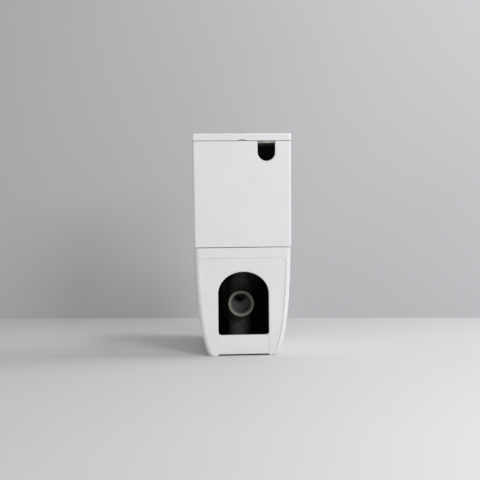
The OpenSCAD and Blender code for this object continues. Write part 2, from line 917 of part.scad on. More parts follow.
module flush_valve_nut() {
    valve_nut_h = cistern_z - deck_low;
    color(plastic_grey)
        at_button()
            difference() {
                translate([0, 0, cistern_z - valve_nut_h])
                    cylinder(r = inlet_d / 2 - 3, h = valve_nut_h, $fn = 6);
                translate([0, 0, cistern_z - valve_nut_h - over])
                    cylinder(r = valve_tail_d / 2 + run_fit, h = valve_nut_h + 2 * over);
            }
}

// Head clipped on the tower, with two ears for each paddle's pivot
pivot_x = 30;
ear_gap = 17;
ear_t = 3;
pivot_r = 2;
head_ring = 6;
paddle_t = 5;
module flush_valve_head() {
    color(plastic_blue)
        at_button()
            difference() {
                union() {
                    tube(tower_d / 2, overflow_d / 2 + 8, tower_top, head_ring);
                    for (side = [-1, 1], y = [-1, 1])
                        translate([side * pivot_x - 5, y * (ear_gap / 2 + ear_t / 2) - ear_t / 2,
                            tower_top])
                            cube([10, ear_t, paddle_h + 5]);
                }
                for (side = [-1, 1])
                    translate([side * pivot_x, ear_gap / 2 + ear_t + over, paddle_z])
                        rotate([90, 0, 0])
                            cylinder(r = pivot_r + run_fit, h = ear_gap + 2 * ear_t + 2 * over);
            }
}

// Paddle pressed by a button's rod, with a trunnion at each side of its pivot
paddle_tip = 6;
module paddle(side) {
    color(plastic_grey)
        at_button() {
            translate([side * pivot_x, 0, paddle_z])
                rotate([90, 0, 0]) {
                    cylinder(r = 4, h = ear_gap - 2 * move_gap, center = true);
                    cylinder(r = pivot_r, h = ear_gap + 2 * ear_t, center = true);
                }
            translate([side > 0 ? paddle_tip : -pivot_x, -ear_gap / 2 + 2, paddle_z - paddle_t / 2])
                cube([pivot_x - paddle_tip, ear_gap - 4, paddle_t]);
        }
}
module full_flush_paddle() {
    paddle(-1);
}
module half_flush_paddle() {
    paddle(1);
}

// Overflow tube with its seal carrier, float and lift collar
seal_thick = 3;
// Room left over the lifted tube for the swing of the paddles
paddle_room = 18;
carrier_z = seat_z + move_gap + seal_thick;
carrier_r = valve_bore_r + 5;
overflow_top = paddle_z - lift - paddle_room;
module overflow_tube() {
    color([0.86, 0.87, 0.88])
        at_button()
            difference() {
                union() {
                    translate([0, 0, seat_z - 8])
                        cylinder(r = overflow_d / 2, h = overflow_top - seat_z + 8);
                    translate([0, 0, carrier_z])
                        cylinder(r = carrier_r - 1, h = 5);
                }
                translate([0, 0, seat_z - 8 - over])
                    cylinder(r = overflow_d / 2 - 2.5, h = overflow_top);
            }
}
module flush_seal() {
    color([0.75, 0.2, 0.15])
        at_button()
            tube(carrier_r, overflow_d / 2 + run_fit, seat_z + move_gap, seal_thick);
}
cup_h = 60;
cup_t = 3;
cup_gap = 5;
cup_z = leg_top + 40;
module flush_float() {
    color(plastic_blue)
        at_button()
            difference() {
                translate([0, 0, cup_z])
                    cylinder(r = tower_d / 2 - cup_gap, h = cup_h);
                translate([0, 0, cup_z - over])
                    cylinder(r = overflow_d / 2 + run_fit, h = cup_h + 2 * over);
                translate([0, 0, cup_z - over])
                    difference() {
                        cylinder(r = tower_d / 2 - cup_gap - cup_t, h = cup_h - cup_t);
                        cylinder(r = overflow_d / 2 + cup_t, h = cup_h);
                    }
            }
}

// Fill valve, its tail passing through the floor of the cistern
fill_x = (bolt_x + seal_r + cistern_w / 2 - cistern_t) / 2 - fill_set;
fill_nut_r = tail_d / 2 + 7;
fill_washer_t = 3;
fill_flange_t = 5;
riser_r = 9;
fill_bore_r = 4;
fill_low = cistern_z - tail_l;
fill_top = tank_floor + fill_h;
stop_h = 8;
float_rest = fill_top - 40 - float_travel - float_h;
module at_fill() {
    translate([fill_x, mid_y, 0])
        children();
}
module fill_valve_body() {
    color([0.9, 0.91, 0.92])
        at_fill()
            difference() {
                union() {
                    translate([0, 0, fill_low])
                        cylinder(r = tail_d / 2, h = tank_floor + fill_washer_t - fill_low + over);
                    translate([0, 0, tank_floor + fill_washer_t])
                        cylinder(r = tail_d / 2 + 7, h = fill_flange_t);
                    translate([0, 0, tank_floor + fill_washer_t])
                        cylinder(r = riser_r, h = fill_top - tank_floor - fill_washer_t);
                    translate([0, 0, float_rest - move_gap - stop_h])
                        cylinder(r = riser_r + 4, h = stop_h);
                }
                translate([0, 0, fill_low - over])
                    cylinder(r = fill_bore_r, h = fill_top - fill_low - 10);
            }
}
module fill_valve_washer() {
    color(dark)
        at_fill()
            tube(tail_d / 2 + 6, tail_d / 2 + run_fit, tank_floor, fill_washer_t);
}
module fill_valve_nut() {
    color(plastic_grey)
        at_fill()
            difference() {
                translate([0, 0, cistern_z - nut_h])
                    cylinder(r = fill_nut_r, h = nut_h, $fn = 6);
                translate([0, 0, cistern_z - nut_h - over])
                    cylinder(r = tail_d / 2 + run_fit, h = nut_h + 2 * over);
            }
}
arm_y = 17;
arm_len = 26;
arm_t = 4;
arm_x = 4;
arm_z = fill_top + 20;
// Half the swing of the arm over the float's travel
arm_swing = asin(float_travel / 2 / arm_len);
link_r = 2;
module fill_valve_cap() {
    color(plastic_grey)
        at_fill()
            difference() {
                union() {
                    translate([0, 0, fill_top])
                        cylinder(r = arm_y - 1, h = 16);
                    translate([0, -arm_y, fill_top])
                        cube([2 * arm_x, arm_y, arm_z - fill_top + 5]);
                }
                translate([arm_x, -arm_y - over, arm_z])
                    rotate([-90, 0, 0])
                        cylinder(r = pivot_r + run_fit, h = arm_y + 2 * over);
            }
}
module fill_float() {
    color([0.86, 0.87, 0.88])
        at_fill()
            difference() {
                translate([0, 0, float_rest])
                    cylinder(r = float_d / 2, h = float_h);
                translate([0, 0, float_rest - over])
                    cylinder(r = riser_r + 1, h = float_h + 2 * over);
                translate([0, 0, float_rest - over])
                    difference() {
                        cylinder(r = float_d / 2 - 2, h = float_h - 2);
                        cylinder(r = riser_r + 3, h = float_h);
                    }
            }
}
// Upright link screwed into the float, beside the arm's end
module fill_float_link() {
    color(dark)
        at_fill()
            translate([-float_d / 2 + 4, -arm_y + link_r + 0.5, float_rest + float_h])
                cylinder(r = link_r, h = arm_z - 9 - float_rest - float_h);
}
module fill_float_arm() {
    color(dark)
        at_fill()
            translate([arm_x, -arm_y - move_gap, arm_z]) {
                rotate([-90, 0, 0])
                    cylinder(r = pivot_r, h = arm_y - 2);
                translate([0, -arm_t, 0])
                    rotate([-90, 0, 0])
                        cylinder(r = 4, h = arm_t);
                rotate([0, -arm_swing, 0])
                    translate([-arm_len, -arm_t, -arm_t / 2])
                        cube([arm_len, arm_t, arm_t]);
            }
}

// Seat
ring_z = pan_h + ring_gap;
ring_top = ring_z + ring_t;
cover_z = ring_top + cover_gap;
seat_w = pan_w - 2 * seat_side;
ring_front = seat_front + 2;
function seat_ring_pts(w, front, back, r, z) = concat(
    [for (p = arc(w - r, back - r, r, 0, 90, corner_steps)) [p[0], p[1], z]],
    [for (p = arc(-w + r, back - r, r, 90, 180, corner_steps)) [p[0], p[1], z]],
    [for (i = [0:nose_steps]) let (a = 180 + 180 * i / nose_steps)
        [w * squash(cos(a)), nose_y + (nose_y - front) * squash(sin(a)), z]]);
ring_back = hinge_y - 20;
cover_back = hinge_y + post_d / 2;
module seat_ring() {
    round_r = 4;
    w = seat_w / 2;
    color(white)
    difference() {
        union() {
            loft([
                seat_ring_pts(w - round_r, ring_front + round_r, ring_back - 2, 30, ring_z),
                seat_ring_pts(w, ring_front, ring_back, 30, ring_z + round_r),
                seat_ring_pts(w, ring_front, ring_back, 30, ring_top - round_r),
                seat_ring_pts(w - 0.3 * round_r, ring_front + 0.3 * round_r, ring_back, 30,
                    ring_top - 0.3 * round_r),
                seat_ring_pts(w - round_r, ring_front + round_r, ring_back - 2, 30, ring_top)]);
            both()
                knuckle(ring_knuckle_x, ring_back);
        }
        loft([
            hole_ring(3, ring_z - over),
            hole_ring(0, ring_z + 4),
            hole_ring(0, ring_top - 9),
            hole_ring(3, ring_top - 4),
            hole_ring(10, ring_top + 0.5)]);
        both()
            translate([0, hinge_y, hinge_z])
                bar_x(pin_d / 2 + run_fit, ring_knuckle_x - over, ring_knuckle_x + knuckle_w + over);
    }
}
hole_front = ring_front + ring_nose;
hole_l = ring_back - ring_rear - hole_front;
function hole_ring(grow, z) =
    let (mid = hole_front + hole_l * 0.55)
    [for (i = [0:35]) let (a = 10 * i)
        [(hole_w / 2 + grow) * cos(a),
            mid + (sin(a) > 0 ? hole_l * 0.45 + grow : hole_l * 0.55 + grow) * sin(a), z]];

// Knuckle around the pin with an arm that reaches the plate
knuckle_w = 16;
post_gap = 0.5;
ring_knuckle_x = hinge_x + post_d / 2 + post_gap;
cover_knuckle_x = hinge_x - post_d / 2 - post_gap - knuckle_w;
module knuckle(x, plate_y) {
    translate([0, hinge_y, hinge_z])
        bar_x(post_d / 2 - 1, x, x + knuckle_w);
    translate([x, plate_y - 6, hinge_z - post_d / 2 + 3])
        cube([knuckle_w, hinge_y - plate_y + 6, post_d - 6]);
}

// The cover's crown rises in two steps of this width, to corners of this radius
crown_in = 60;
crown_r = 20;
module seat_cover() {
    r = 4;
    w = seat_w / 2 + 1;
    top = cover_z + cover_t;
    color(white)
    difference() {
        union() {
            loft([
                seat_ring_pts(w - r, seat_front + r, cover_back - 1, 30, cover_z),
                seat_ring_pts(w, seat_front, cover_back, 30, cover_z + r),
                seat_ring_pts(w, seat_front, cover_back, 30, top - r),
                seat_ring_pts(w - 0.3 * r, seat_front + 0.3 * r, cover_back, 30, top - 0.3 * r),
                seat_ring_pts(w - r, seat_front + r, cover_back - 1, 28, top),
                seat_ring_pts(w - crown_in, seat_front + crown_in, cover_back - crown_in / 2,
                    crown_r + r, top + cover_crown * 0.7),
                seat_ring_pts(w - 2 * crown_in, seat_front + 2 * crown_in, cover_back - crown_in,
                    crown_r, top + cover_crown)]);
            both() {
                translate([0, hinge_y, hinge_z])
                    bar_x(post_d / 2 - 1, cover_knuckle_x, cover_knuckle_x + knuckle_w);
                translate([cover_knuckle_x, hinge_y - post_d / 2 + 1, hinge_z])
                    cube([knuckle_w, post_d - 2, cover_z + r - hinge_z]);
            }
        }
        both()
            translate([0, hinge_y, hinge_z])
                bar_x(pin_d / 2 + run_fit, cover_knuckle_x - over, cover_knuckle_x + knuckle_w + over);
    }
}

// Buffers: four under the ring, two under the cover
buffer_r = 9;
module buffer(x, y, z, h) {
    for (side = [-1, 1])
        translate([side * x, y, z])
            cylinder(r1 = buffer_r - 1, r2 = buffer_r, h = h);
}
buffer_x = 146;
buffer_front_x = 98;
buffer_behind = 100;
cover_buffer_behind = 130;
buffer_ahead = 8;
cover_buffer_ahead = 12;
module ring_buffers() {
    color(plastic_grey) {
        buffer(buffer_front_x, hole_front - buffer_ahead, pan_h + move_gap, ring_gap - move_gap);
        buffer(buffer_x, hinge_y - buffer_behind, pan_h + move_gap, ring_gap - move_gap);
    }
}
module cover_buffers() {
    color(plastic_grey) {
        buffer(buffer_front_x, hole_front - cover_buffer_ahead, ring_top + move_gap, cover_gap - move_gap);
        buffer(buffer_x, hinge_y - cover_buffer_behind, ring_top + move_gap, cover_gap - move_gap);
    }
}

// Hinges: post on the deck, pin across it, bolt down through the deck
hinge_bolt_r = 4;
post_base_r = 22;
post_base_h = 3;
pin_l = post_d + 2 * (knuckle_w + post_gap);
bush_t = 3;
hinge_nut_h = 16;
module hinge_posts() {
    color(metal)
        both()
            difference() {
                union() {
                    translate([hinge_x, hinge_y, pan_h])
                        cylinder(r = post_base_r, h = post_base_h - 1);
                    translate([hinge_x, hinge_y, pan_h])
                        cylinder(r = post_d / 2, h = hinge_h);
                    translate([0, hinge_y, hinge_z])
                        bar_x(post_d / 2, hinge_x - post_d / 2 + 1, hinge_x + post_d / 2 - 1);
                }
                translate([0, hinge_y, hinge_z])
                    bar_x(pin_d / 2 + run_fit, hinge_x - post_d, hinge_x + post_d);
                translate([hinge_x, hinge_y, pan_h - over])
                    cylinder(r = hinge_bolt_r + run_fit, h = 6 + over);
            }
}
module hinge_pins() {
    color(metal)
        both()
            translate([0, hinge_y, hinge_z])
                bar_x(pin_d / 2, hinge_x - pin_l / 2, hinge_x + pin_l / 2);
}
module hinge_bolts() {
    color(metal)
        both()
            translate([hinge_x, hinge_y, deck_low - bush_t - hinge_nut_h - 6])
                cylinder(r = hinge_bolt_r, h = deck_t + bush_t + hinge_nut_h + 6 + 5);
}
bush_r = 13;
module hinge_bushes() {
    color(dark)
        both()
            translate([hinge_x, hinge_y, 0])
                tube(bush_r, hinge_bolt_r + run_fit, deck_low - bush_t, bush_t);
}
module hinge_nuts() {
    color(plastic_grey)
        both()
            translate([hinge_x, hinge_y, deck_low - bush_t - hinge_nut_h])
                difference() {
                    union() {
                        cylinder(r = 9, h = hinge_nut_h);
                        for (a = [0, 180])
                            rotate([0, 0, a])
                                translate([-1.5, 7, 2])
                                    cube([3, 7, hinge_nut_h - 4]);
                    }
                    translate([0, 0, -over])
                        cylinder(r = hinge_bolt_r + run_fit, h = hinge_nut_h + 2 * over);
                }
}

// Floor brackets inside the skirt, held by a screw through each side
bracket_y = 40;
bracket_t = 6;
bracket_l = 60;
bracket_in = 28;
bracket_gap = 2;
bracket_out = pan_w / 2 - foot_in - skirt_t - bracket_gap;
bracket_x = bracket_out + bracket_gap - bracket_hole_in;
bracket_h = 50;
screw_r = 3;
cap_r = 8;
screw_w = skirt_w(skirt_t_at(screw_z - cap_r));
module bracket_screw_hole() {
    translate([0, bracket_y, screw_z]) {
        bar_x(screw_r + 0.5, bracket_out - over, pan_w);
        bar_x(cap_r + 0.2, screw_w - 5, pan_w);
    }
}
module floor_brackets() {
    color(plastic_grey)
        both()
            difference() {
                union() {
                    translate([bracket_out - bracket_in, bracket_y - bracket_l / 2, 0])
                        cube([bracket_in, bracket_l, bracket_t]);
                    translate([bracket_out - bracket_t, bracket_y - bracket_l / 2, 0])
                        cube([bracket_t, bracket_l, bracket_h]);
                }
                translate([bracket_x, bracket_y, -over])
                    cylinder(r = floor_hole_r, h = bracket_t + 2 * over);
                translate([0, bracket_y, screw_z])
                    bar_x(screw_r + run_fit, bracket_out - bracket_in, bracket_out + over);
            }
}
module bracket_screws() {
    color(metal)
        both()
            translate([0, bracket_y, screw_z]) {
                bar_x(screw_r, bracket_out - bracket_t - 8, screw_w - 4);
                bar_x(screw_r + 3, screw_w - 5, screw_w - 2.5);
            }
}
module screw_caps() {
    color(white)
        both()
            translate([0, bracket_y, screw_z])
                bar_x(cap_r, screw_w - 2.5, screw_w + 1.5);
}

pan();
bowl();
trapway();
cistern();
cistern_lid();
doughnut_gasket();
cistern_bolts();
cistern_bolt_seals();
cistern_bolt_washers();
cistern_wing_nuts();
button_bezel();
button_nut();
full_flush_button();
half_flush_button();
full_flush_spring();
half_flush_spring();
flush_valve_body();
flush_valve_washer();
flush_valve_nut();
flush_valve_head();
overflow_tube();
flush_seal();
flush_float();
full_flush_paddle();
half_flush_paddle();
fill_valve_body();
fill_valve_washer();
fill_valve_nut();
fill_valve_cap();
fill_float();
fill_float_link();
fill_float_arm();
seat_ring();
seat_cover();
ring_buffers();
cover_buffers();
hinge_posts();
hinge_pins();
hinge_bolts();
hinge_bushes();
hinge_nuts();
floor_brackets();
bracket_screws();
screw_caps();
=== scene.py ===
"""Rimless close-coupled toilet, seen from behind as in the photograph.

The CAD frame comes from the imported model. Each ceramic or moulded piece is
written as a distance field in metres, negative inside, and meshed on the
field's zero level, so its edges carry real fillets. Blender shows the looks
only: every piece rides on the CAD body that it stands for.
"""
import bpy
import json
import math
import numpy as np
from mathutils import Matrix, Vector


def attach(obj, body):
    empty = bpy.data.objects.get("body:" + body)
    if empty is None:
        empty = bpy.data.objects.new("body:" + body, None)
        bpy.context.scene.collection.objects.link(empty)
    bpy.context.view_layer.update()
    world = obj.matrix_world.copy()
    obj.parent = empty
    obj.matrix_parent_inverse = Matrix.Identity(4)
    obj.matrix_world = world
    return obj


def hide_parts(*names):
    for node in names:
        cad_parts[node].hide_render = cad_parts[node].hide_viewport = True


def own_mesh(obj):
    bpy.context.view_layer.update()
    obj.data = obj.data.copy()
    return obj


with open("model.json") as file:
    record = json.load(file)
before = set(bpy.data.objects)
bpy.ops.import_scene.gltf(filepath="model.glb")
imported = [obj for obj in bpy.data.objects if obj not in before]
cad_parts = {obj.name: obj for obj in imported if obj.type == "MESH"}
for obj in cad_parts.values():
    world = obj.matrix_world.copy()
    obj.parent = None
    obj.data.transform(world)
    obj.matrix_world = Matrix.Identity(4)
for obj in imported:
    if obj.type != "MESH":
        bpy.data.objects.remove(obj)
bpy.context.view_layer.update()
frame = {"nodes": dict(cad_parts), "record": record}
nodes = frame["nodes"]

# ---------------------------------------------------------------- sizes, metres
WALL_Y = 0.325
NOSE_Y = -0.105
NOSE_POWER = 2.2
PAN_H = 0.410
DECK_LOW = 0.396
PAN_FRONT = -0.320
SKIRT_T = 0.012
REAR_T = 0.016
REAR_R = 0.020
TOP_R = 0.005
MID_Y = 0.245
SPIGOT_Y = 0.185
OUTLET_Z = 0.185
CISTERN_Z = 0.412
CISTERN_TOP = 0.812
TANK_FLOOR = 0.424
CISTERN_T = 0.009
LID_TOP = 0.841
NOTCH_X = -0.092
NOTCH_R = 0.033
NOTCH_H = 0.075
NOTCH_Z = CISTERN_TOP - NOTCH_H + NOTCH_R
ARCH_X = 0.096
ARCH_SILL = 0.079
HINGE = (0.098, 0.424)
HINGE_X = 0.0775
BOLT_X = 0.092
BOLT_HOLE_R = 0.0055
FILL_X = 0.140


# ---------------------------------------------------------------- field tools
def bezier(a, b, c, d, t):
    return a * (1 - t) ** 3 + 3 * b * t * (1 - t) ** 2 + 3 * c * t * t * (1 - t) + d * t ** 3


def common(a, b, r):
    """What two fields share, its edge rounded by r."""
    return np.minimum(np.maximum(a, b), -r) + np.hypot(np.maximum(a + r, 0), np.maximum(b + r, 0))


def join(a, b, r):
    """Both fields together, with a fillet of radius r."""
    return -common(-a, -b, r)


def cut(a, b, r):
    """The first field less the second, its edge rounded by r."""
    return common(a, -b, r)


def slab(v, low, high):
    return np.maximum(low - v, v - high)


def block(x, y, z, lo, hi, r=0.002):
    flat = common(slab(x, lo[0], hi[0]), slab(y, lo[1], hi[1]), r)
    return common(flat, slab(z, lo[2], hi[2]), r)


def disc(x, y, z, cx, cy, radius, low, high, r=0.001):
    """Upright round bar."""
    return common(np.hypot(x - cx, y - cy) - radius, slab(z, low, high), r)


def bar(x, y, z, cy, cz, radius, low, high, r=0.001):
    """Round bar along X."""
    return common(np.hypot(y - cy, z - cz) - radius, slab(x, low, high), r)


def leg(x, y, z, a, b, radius):
    """Round-ended tube between two (y, z) places in the middle plane."""
    dy, dz = b[0] - a[0], b[1] - a[1]
    t = np.clip(((y - a[0]) * dy + (z - a[1]) * dz) / (dy * dy + dz * dz), 0, 1)
    return np.sqrt(x * x + (y - a[0] - t * dy) ** 2 + (z - a[1] - t * dz) ** 2) - radius


def d_plan(x, y, half_w, front, back, corner):
    """D outline: superellipse nose, straight sides, rounded rear corners."""
    p = NOSE_POWER
    u = np.maximum(np.abs(x), 1e-6) / half_w
    v = np.maximum(NOSE_Y - y, 0) / (NOSE_Y - front)
    rho = (u ** p + v ** p) ** (1 / p)
    slope = rho ** (1 - p) * np.hypot(u ** (p - 1) / half_w, v ** (p - 1) / (NOSE_Y - front))
    return common((rho - 1) / slope, y - back, corner)


def oval(x, y, half_w, front, back, mid):
    """Two half ellipses that meet at y = mid."""
    length = np.where(y > mid, back - mid, mid - front)
    u, v = x / half_w, (y - mid) / length
    rho = np.hypot(u, v) + 1e-6
    return (rho - 1) / (np.hypot(u / half_w, v / length) / rho + 1e-6)


def axis(low, high, step, fine=None):
    """Grid lines, finer in the band `fine` = (from, to, step)."""
    if fine is None:
        return np.arange(low - 1.5 * step, high + 2.5 * step, step)
    start, end, small = fine
    before = start - step * np.arange(math.ceil((start - low) / step + 1.5), 0, -1)
    within = start + small * np.arange(round((end - start) / small))
    after = end + step * np.arange(math.ceil(max(high - end, 0) / step + 2.5))
    return np.concatenate([before, within, after])


def gradient(field, p, eps=0.0002):
    """Value and slope of a field at points."""
    g = np.empty_like(p)
    for i in range(3):
        hi, lo = p.copy(), p.copy()
        hi[:, i] += eps
        lo[:, i] -= eps
        g[:, i] = (field(*hi.T) - field(*lo.T)) / (2 * eps)
    return field(*p.T), g


def settle(field, p, limit):
    """Moves points onto the zero level, each by at most `limit`."""
    for _ in range(3):
        value, g = gradient(field, p)
        size = np.maximum((g * g).sum(1), 1e-4)
        move = g * (value / size)[:, None]
        far = np.maximum(np.linalg.norm(move, axis=1) / limit, 1)
        p = p - move / far[:, None]
    return p


def surface_net(field, xs, ys, zs):
    """Quads on the zero level: one point in each cell that the surface crosses."""
    grid = np.meshgrid(xs, ys, zs, indexing="ij")
    d = field(*grid)
    d[d == 0] = 1e-9
    inside = d < 0
    corners = [(i, j, k) for i in (0, 1) for j in (0, 1) for k in (0, 1)]
    nx, ny, nz = (len(a) - 1 for a in (xs, ys, zs))

    def shifted(a, c):
        return a[c[0]:c[0] + nx, c[1]:c[1] + ny, c[2]:c[2] + nz]

    count = sum(shifted(inside, c).astype(np.int8) for c in corners)
    crossed = (count > 0) & (count < 8)
    ids = np.full(crossed.shape, -1, np.int64)
    ids[crossed] = np.arange(crossed.sum())
    cell = np.argwhere(crossed)
    value = {c: d[tuple((cell + c).T)] for c in corners}
    place = {c: np.stack([a[cell[:, i] + c[i]] for i, a in enumerate((xs, ys, zs))], 1)
             for c in corners}
    total = np.zeros((len(cell), 3))
    hits = np.zeros(len(cell))
    for a in corners:
        for i in range(3):
            if a[i]:
                continue
            b = tuple(1 if n == i else a[n] for n in range(3))
            across = (value[a] < 0) != (value[b] < 0)
            t = np.where(across, value[a] / np.where(across, value[a] - value[b], 1), 0)[:, None]
            crossing = place[a] * (1 - t) + place[b] * t
            total += np.where(across[:, None], crossing, 0)
            hits += across
    points = total / hits[:, None]
    quads = []
    for i in range(3):
        j, k = (i + 1) % 3, (i + 2) % 3
        n = list(inside.shape)
        n[i] -= 1
        a = [slice(1, -1)] * 3
        a[i] = slice(0, -1)
        b = list(a)
        b[i] = slice(1, None)
        start, end = inside[tuple(a)], inside[tuple(b)]
        at = np.argwhere(start != end)
        leaves = start[tuple(at.T)]
        base = at.copy()
        base[:, [j, k]] += 1
        loop = []
        for dj, dk in ((-1, -1), (0, -1), (0, 0), (-1, 0)):
            q = base.copy()
            q[:, j] += dj
            q[:, k] += dk
            loop.append(ids[tuple(q.T)])
        loop = np.stack(loop, 1)
        quads += [loop[leaves], loop[~leaves][:, ::-1]]
    return points, np.concatenate(quads)


def relax(points, quads):
    """One step of each point towards the middle of its neighbours."""
    total = np.zeros_like(points)
    hits = np.zeros(len(points))
    for i in range(4):
        a, b = quads[:, i], quads[:, (i + 1) % 4]
        for s, e in ((a, b), (b, a)):
            for n in range(3):
                total[:, n] += np.bincount(s, points[e, n], len(points))
            hits += np.bincount(s, minlength=len(points))
    return 0.5 * points + 0.5 * total / np.maximum(hits, 1)[:, None]


def field_mesh(name, field, xs, ys, zs, masks=None):
    """Mesh object on a field's zero level, with one point attribute per mask."""
    points, quads = surface_net(field, xs, ys, zs)
    step = min(np.diff(a).min() for a in (xs, ys, zs))
    points = settle(field, points, step)
    for _ in range(2):
        points = settle(field, relax(points, quads), step)
    normals = gradient(field, points)[1]
    normals /= np.maximum(np.linalg.norm(normals, axis=1), 1e-9)[:, None]
    mesh = bpy.data.meshes.new(name)
    mesh.vertices.add(len(points))
    mesh.vertices.foreach_set("co", points.astype(np.float32).ravel())
    mesh.loops.add(quads.size)
    mesh.loops.foreach_set("vertex_index", quads.astype(np.int32).ravel())
    mesh.polygons.add(len(quads))
    mesh.polygons.foreach_set("loop_start", np.arange(0, quads.size, 4, dtype=np.int32))
    mesh.update(calc_edges=True)
    mesh.validate()
    mesh.polygons.foreach_set("use_smooth", np.ones(len(mesh.polygons), bool))
    if len(mesh.vertices) == len(points):
        mesh.normals_split_custom_set_from_vertices(normals.tolist())
    for key, mask in (masks or {}).items():
        a = mesh.attributes.new(key, "FLOAT", "POINT")
        a.data.foreach_set("value", mask(*points.T).astype(np.float32))
    obj = bpy.data.objects.new(name, mesh)
    bpy.context.scene.collection.objects.link(obj)
    return obj


# ---------------------------------------------------------------- ceramic forms
# Half widths, fronts and backs of skirt and basin, each against its height
SHARE = np.linspace(0, 1, 160)
SKIRT_Z = bezier(0, 0.060, 0.250, PAN_H - TOP_R, SHARE)
SKIRT_W = bezier(0.261, 0.334, 0.360, 0.365, SHARE) / 2
SKIRT_F = PAN_FRONT + bezier(0.118, 0.096, 0.014, 0, SHARE)
BOWL_Z = np.concatenate([bezier(0.106, 0.130, 0.180, 0.215, SHARE),
                         bezier(0.215, 0.262, 0.350, 0.411, SHARE[1:])])
BOWL_W = np.concatenate([bezier(0.084, 0.094, 0.112, 0.120, SHARE),
                         bezier(0.120, 0.200, 0.280, 0.280, SHARE[1:])]) / 2
BOWL_F = np.concatenate([bezier(-0.108, -0.116, -0.128, -0.132, SHARE),
                         bezier(-0.132, -0.207, -0.276, -0.280, SHARE[1:])])
BOWL_B = np.concatenate([np.full(len(SHARE), 0.018),
                         bezier(0.018, 0.026, 0.063, 0.065, SHARE[1:])])
BOWL_M = np.concatenate([np.full(len(SHARE), -0.057),
                         bezier(-0.114, -0.174, -0.210, -0.210, SHARE[1:]) / 2])
BOWL_T = 0.011
# Trap, as (y, z) places in the middle plane, and the bore from its chamber to the rear
TRAP_IN, WEIR, CHAMBER = (0.014, 0.137), (0.090, 0.243), (0.120, OUTLET_Z)
WAY_R, PIPE_R, CHAMBER_R = 0.028, 0.038, 0.052
BORE_R, BORE_BACK = 0.039, 0.018
FLARE, FLARE_DEPTH = 0.85, 0.0115
SPIGOT_R, SPIGOT_L = 0.051, 0.045
SHANK_R, SHANK_IN = 0.050, 0.005
# Hollow column under the trap
COLUMN_Y, COLUMN_R, COLUMN_LOW, COLUMN_TOP = 0.091, 0.044, 0.010, 0.283
COLUMN_BORE_R, COLUMN_BORE_TOP = 0.034, 0.120
NECK_Y, NECK_R, NECK_LOW, NECK_TOP = COLUMN_Y + 0.008, 0.034, 0.270, 0.340
# Flush duct under the deck, as (lowest, highest) corners, and the seat of the gasket
DUCT = (-0.052, 0.035, 0.330), (0.052, 0.311, 0.400)
DUCT_WAY = (-0.044, 0.034, 0.338), (0.044, 0.303, 0.376)
FLUSH_SLOT = (-0.038, 0.025, 0.342), (0.038, 0.085, 0.360)
BOSS_R, BOSS_LOW, BOSS_TOP = 0.068, 0.376, 0.400
GASKET_R, FLUSH_R, FILL_NUT_R = 0.060, 0.046, 0.0225
# Rear face: panel, strip between the feet, arch
PANEL_IN, PANEL_TOP, PANEL_R, PANEL_DEPTH = 0.019, 0.370, 0.018, 0.0045
STRIP_DEPTH, FOOT_GAP = 0.0065, 0.0055
ARCH_SPRING, ARCH_TOP, ARCH_RISE, ARCH_R, ARCH_DEPTH = 0.234, 0.318, 0.084, 0.011, 0.024
# Where a cutting shape ends outside the body that it cuts
PAST, OVER_DECK, IN_DECK = 0.02, 0.430, 0.380


def skirt(x, y, z, inset, back, corner):
    half_w = np.interp(z, SKIRT_Z, SKIRT_W) - inset
    front = np.interp(z, SKIRT_Z, SKIRT_F) + inset
    return d_plan(x, y, half_w, front, back, corner)


def basin(x, y, z, grow):
    side = oval(x, y, np.interp(z, BOWL_Z, BOWL_W) + grow, np.interp(z, BOWL_Z, BOWL_F) - grow,
                np.interp(z, BOWL_Z, BOWL_B) + grow, np.interp(z, BOWL_Z, BOWL_M))
    return common(side, BOWL_Z[0] - grow - z, r=0.016)


def hollow(x, y, z):
    inside = skirt(x, y, z, SKIRT_T, WALL_Y - REAR_T, corner=0.014)
    return common(inside, z - DECK_LOW, r=0.008)


def water_way(x, y, z):
    way = join(leg(x, y, z, TRAP_IN, WEIR, WAY_R), leg(x, y, z, WEIR, CHAMBER, WAY_R), r=0.006)
    off_axis = np.hypot(x, z - OUTLET_Z)
    bore = common(off_axis - BORE_R, slab(y, CHAMBER[0] - BORE_BACK, SPIGOT_Y + PAST), r=0.004)
    flare = (off_axis - BORE_R - FLARE * (y - SPIGOT_Y + FLARE_DEPTH)) / math.hypot(1, FLARE)
    mouth = np.maximum(flare, slab(y, SPIGOT_Y - PAST, SPIGOT_Y + PAST))
    return join(join(way, bore, r=0.006), mouth, r=0.002)


def trapway(x, y, z):
    pipe = join(leg(x, y, z, TRAP_IN, WEIR, PIPE_R), leg(x, y, z, WEIR, CHAMBER, PIPE_R), r=0.012)
    off_axis = np.hypot(x, z - OUTLET_Z)
    spigot = common(off_axis - SPIGOT_R, slab(y, SPIGOT_Y - SPIGOT_L, SPIGOT_Y), r=0.003)
    shank = np.maximum(off_axis - SHANK_R, slab(y, CHAMBER[0], SPIGOT_Y - SHANK_IN))
    spigot = join(spigot, shank, r=0.0005)
    dome = np.sqrt(x * x + (y - CHAMBER[0]) ** 2 + (z - CHAMBER[1]) ** 2) - CHAMBER_R
    column = disc(x, y, z, 0, COLUMN_Y, COLUMN_R, COLUMN_LOW, COLUMN_TOP, r=0.006)
    neck = disc(x, y, z, 0, NECK_Y, NECK_R, NECK_LOW, NECK_TOP, r=0.004)
    stand = join(column, neck, r=0.008)
    return join(join(pipe, stand, r=0.010), np.minimum(spigot, dome), r=0.004)


def arch(x, z):
    """Opening of the rear face: straight sides under half an ellipse."""
    top = oval(x, z, ARCH_X, ARCH_SPRING - ARCH_RISE, ARCH_TOP, ARCH_SPRING)
    sides = np.where(z > ARCH_SPRING, top, np.abs(x) - ARCH_X)
    return common(sides, ARCH_SILL - z, r=ARCH_R)


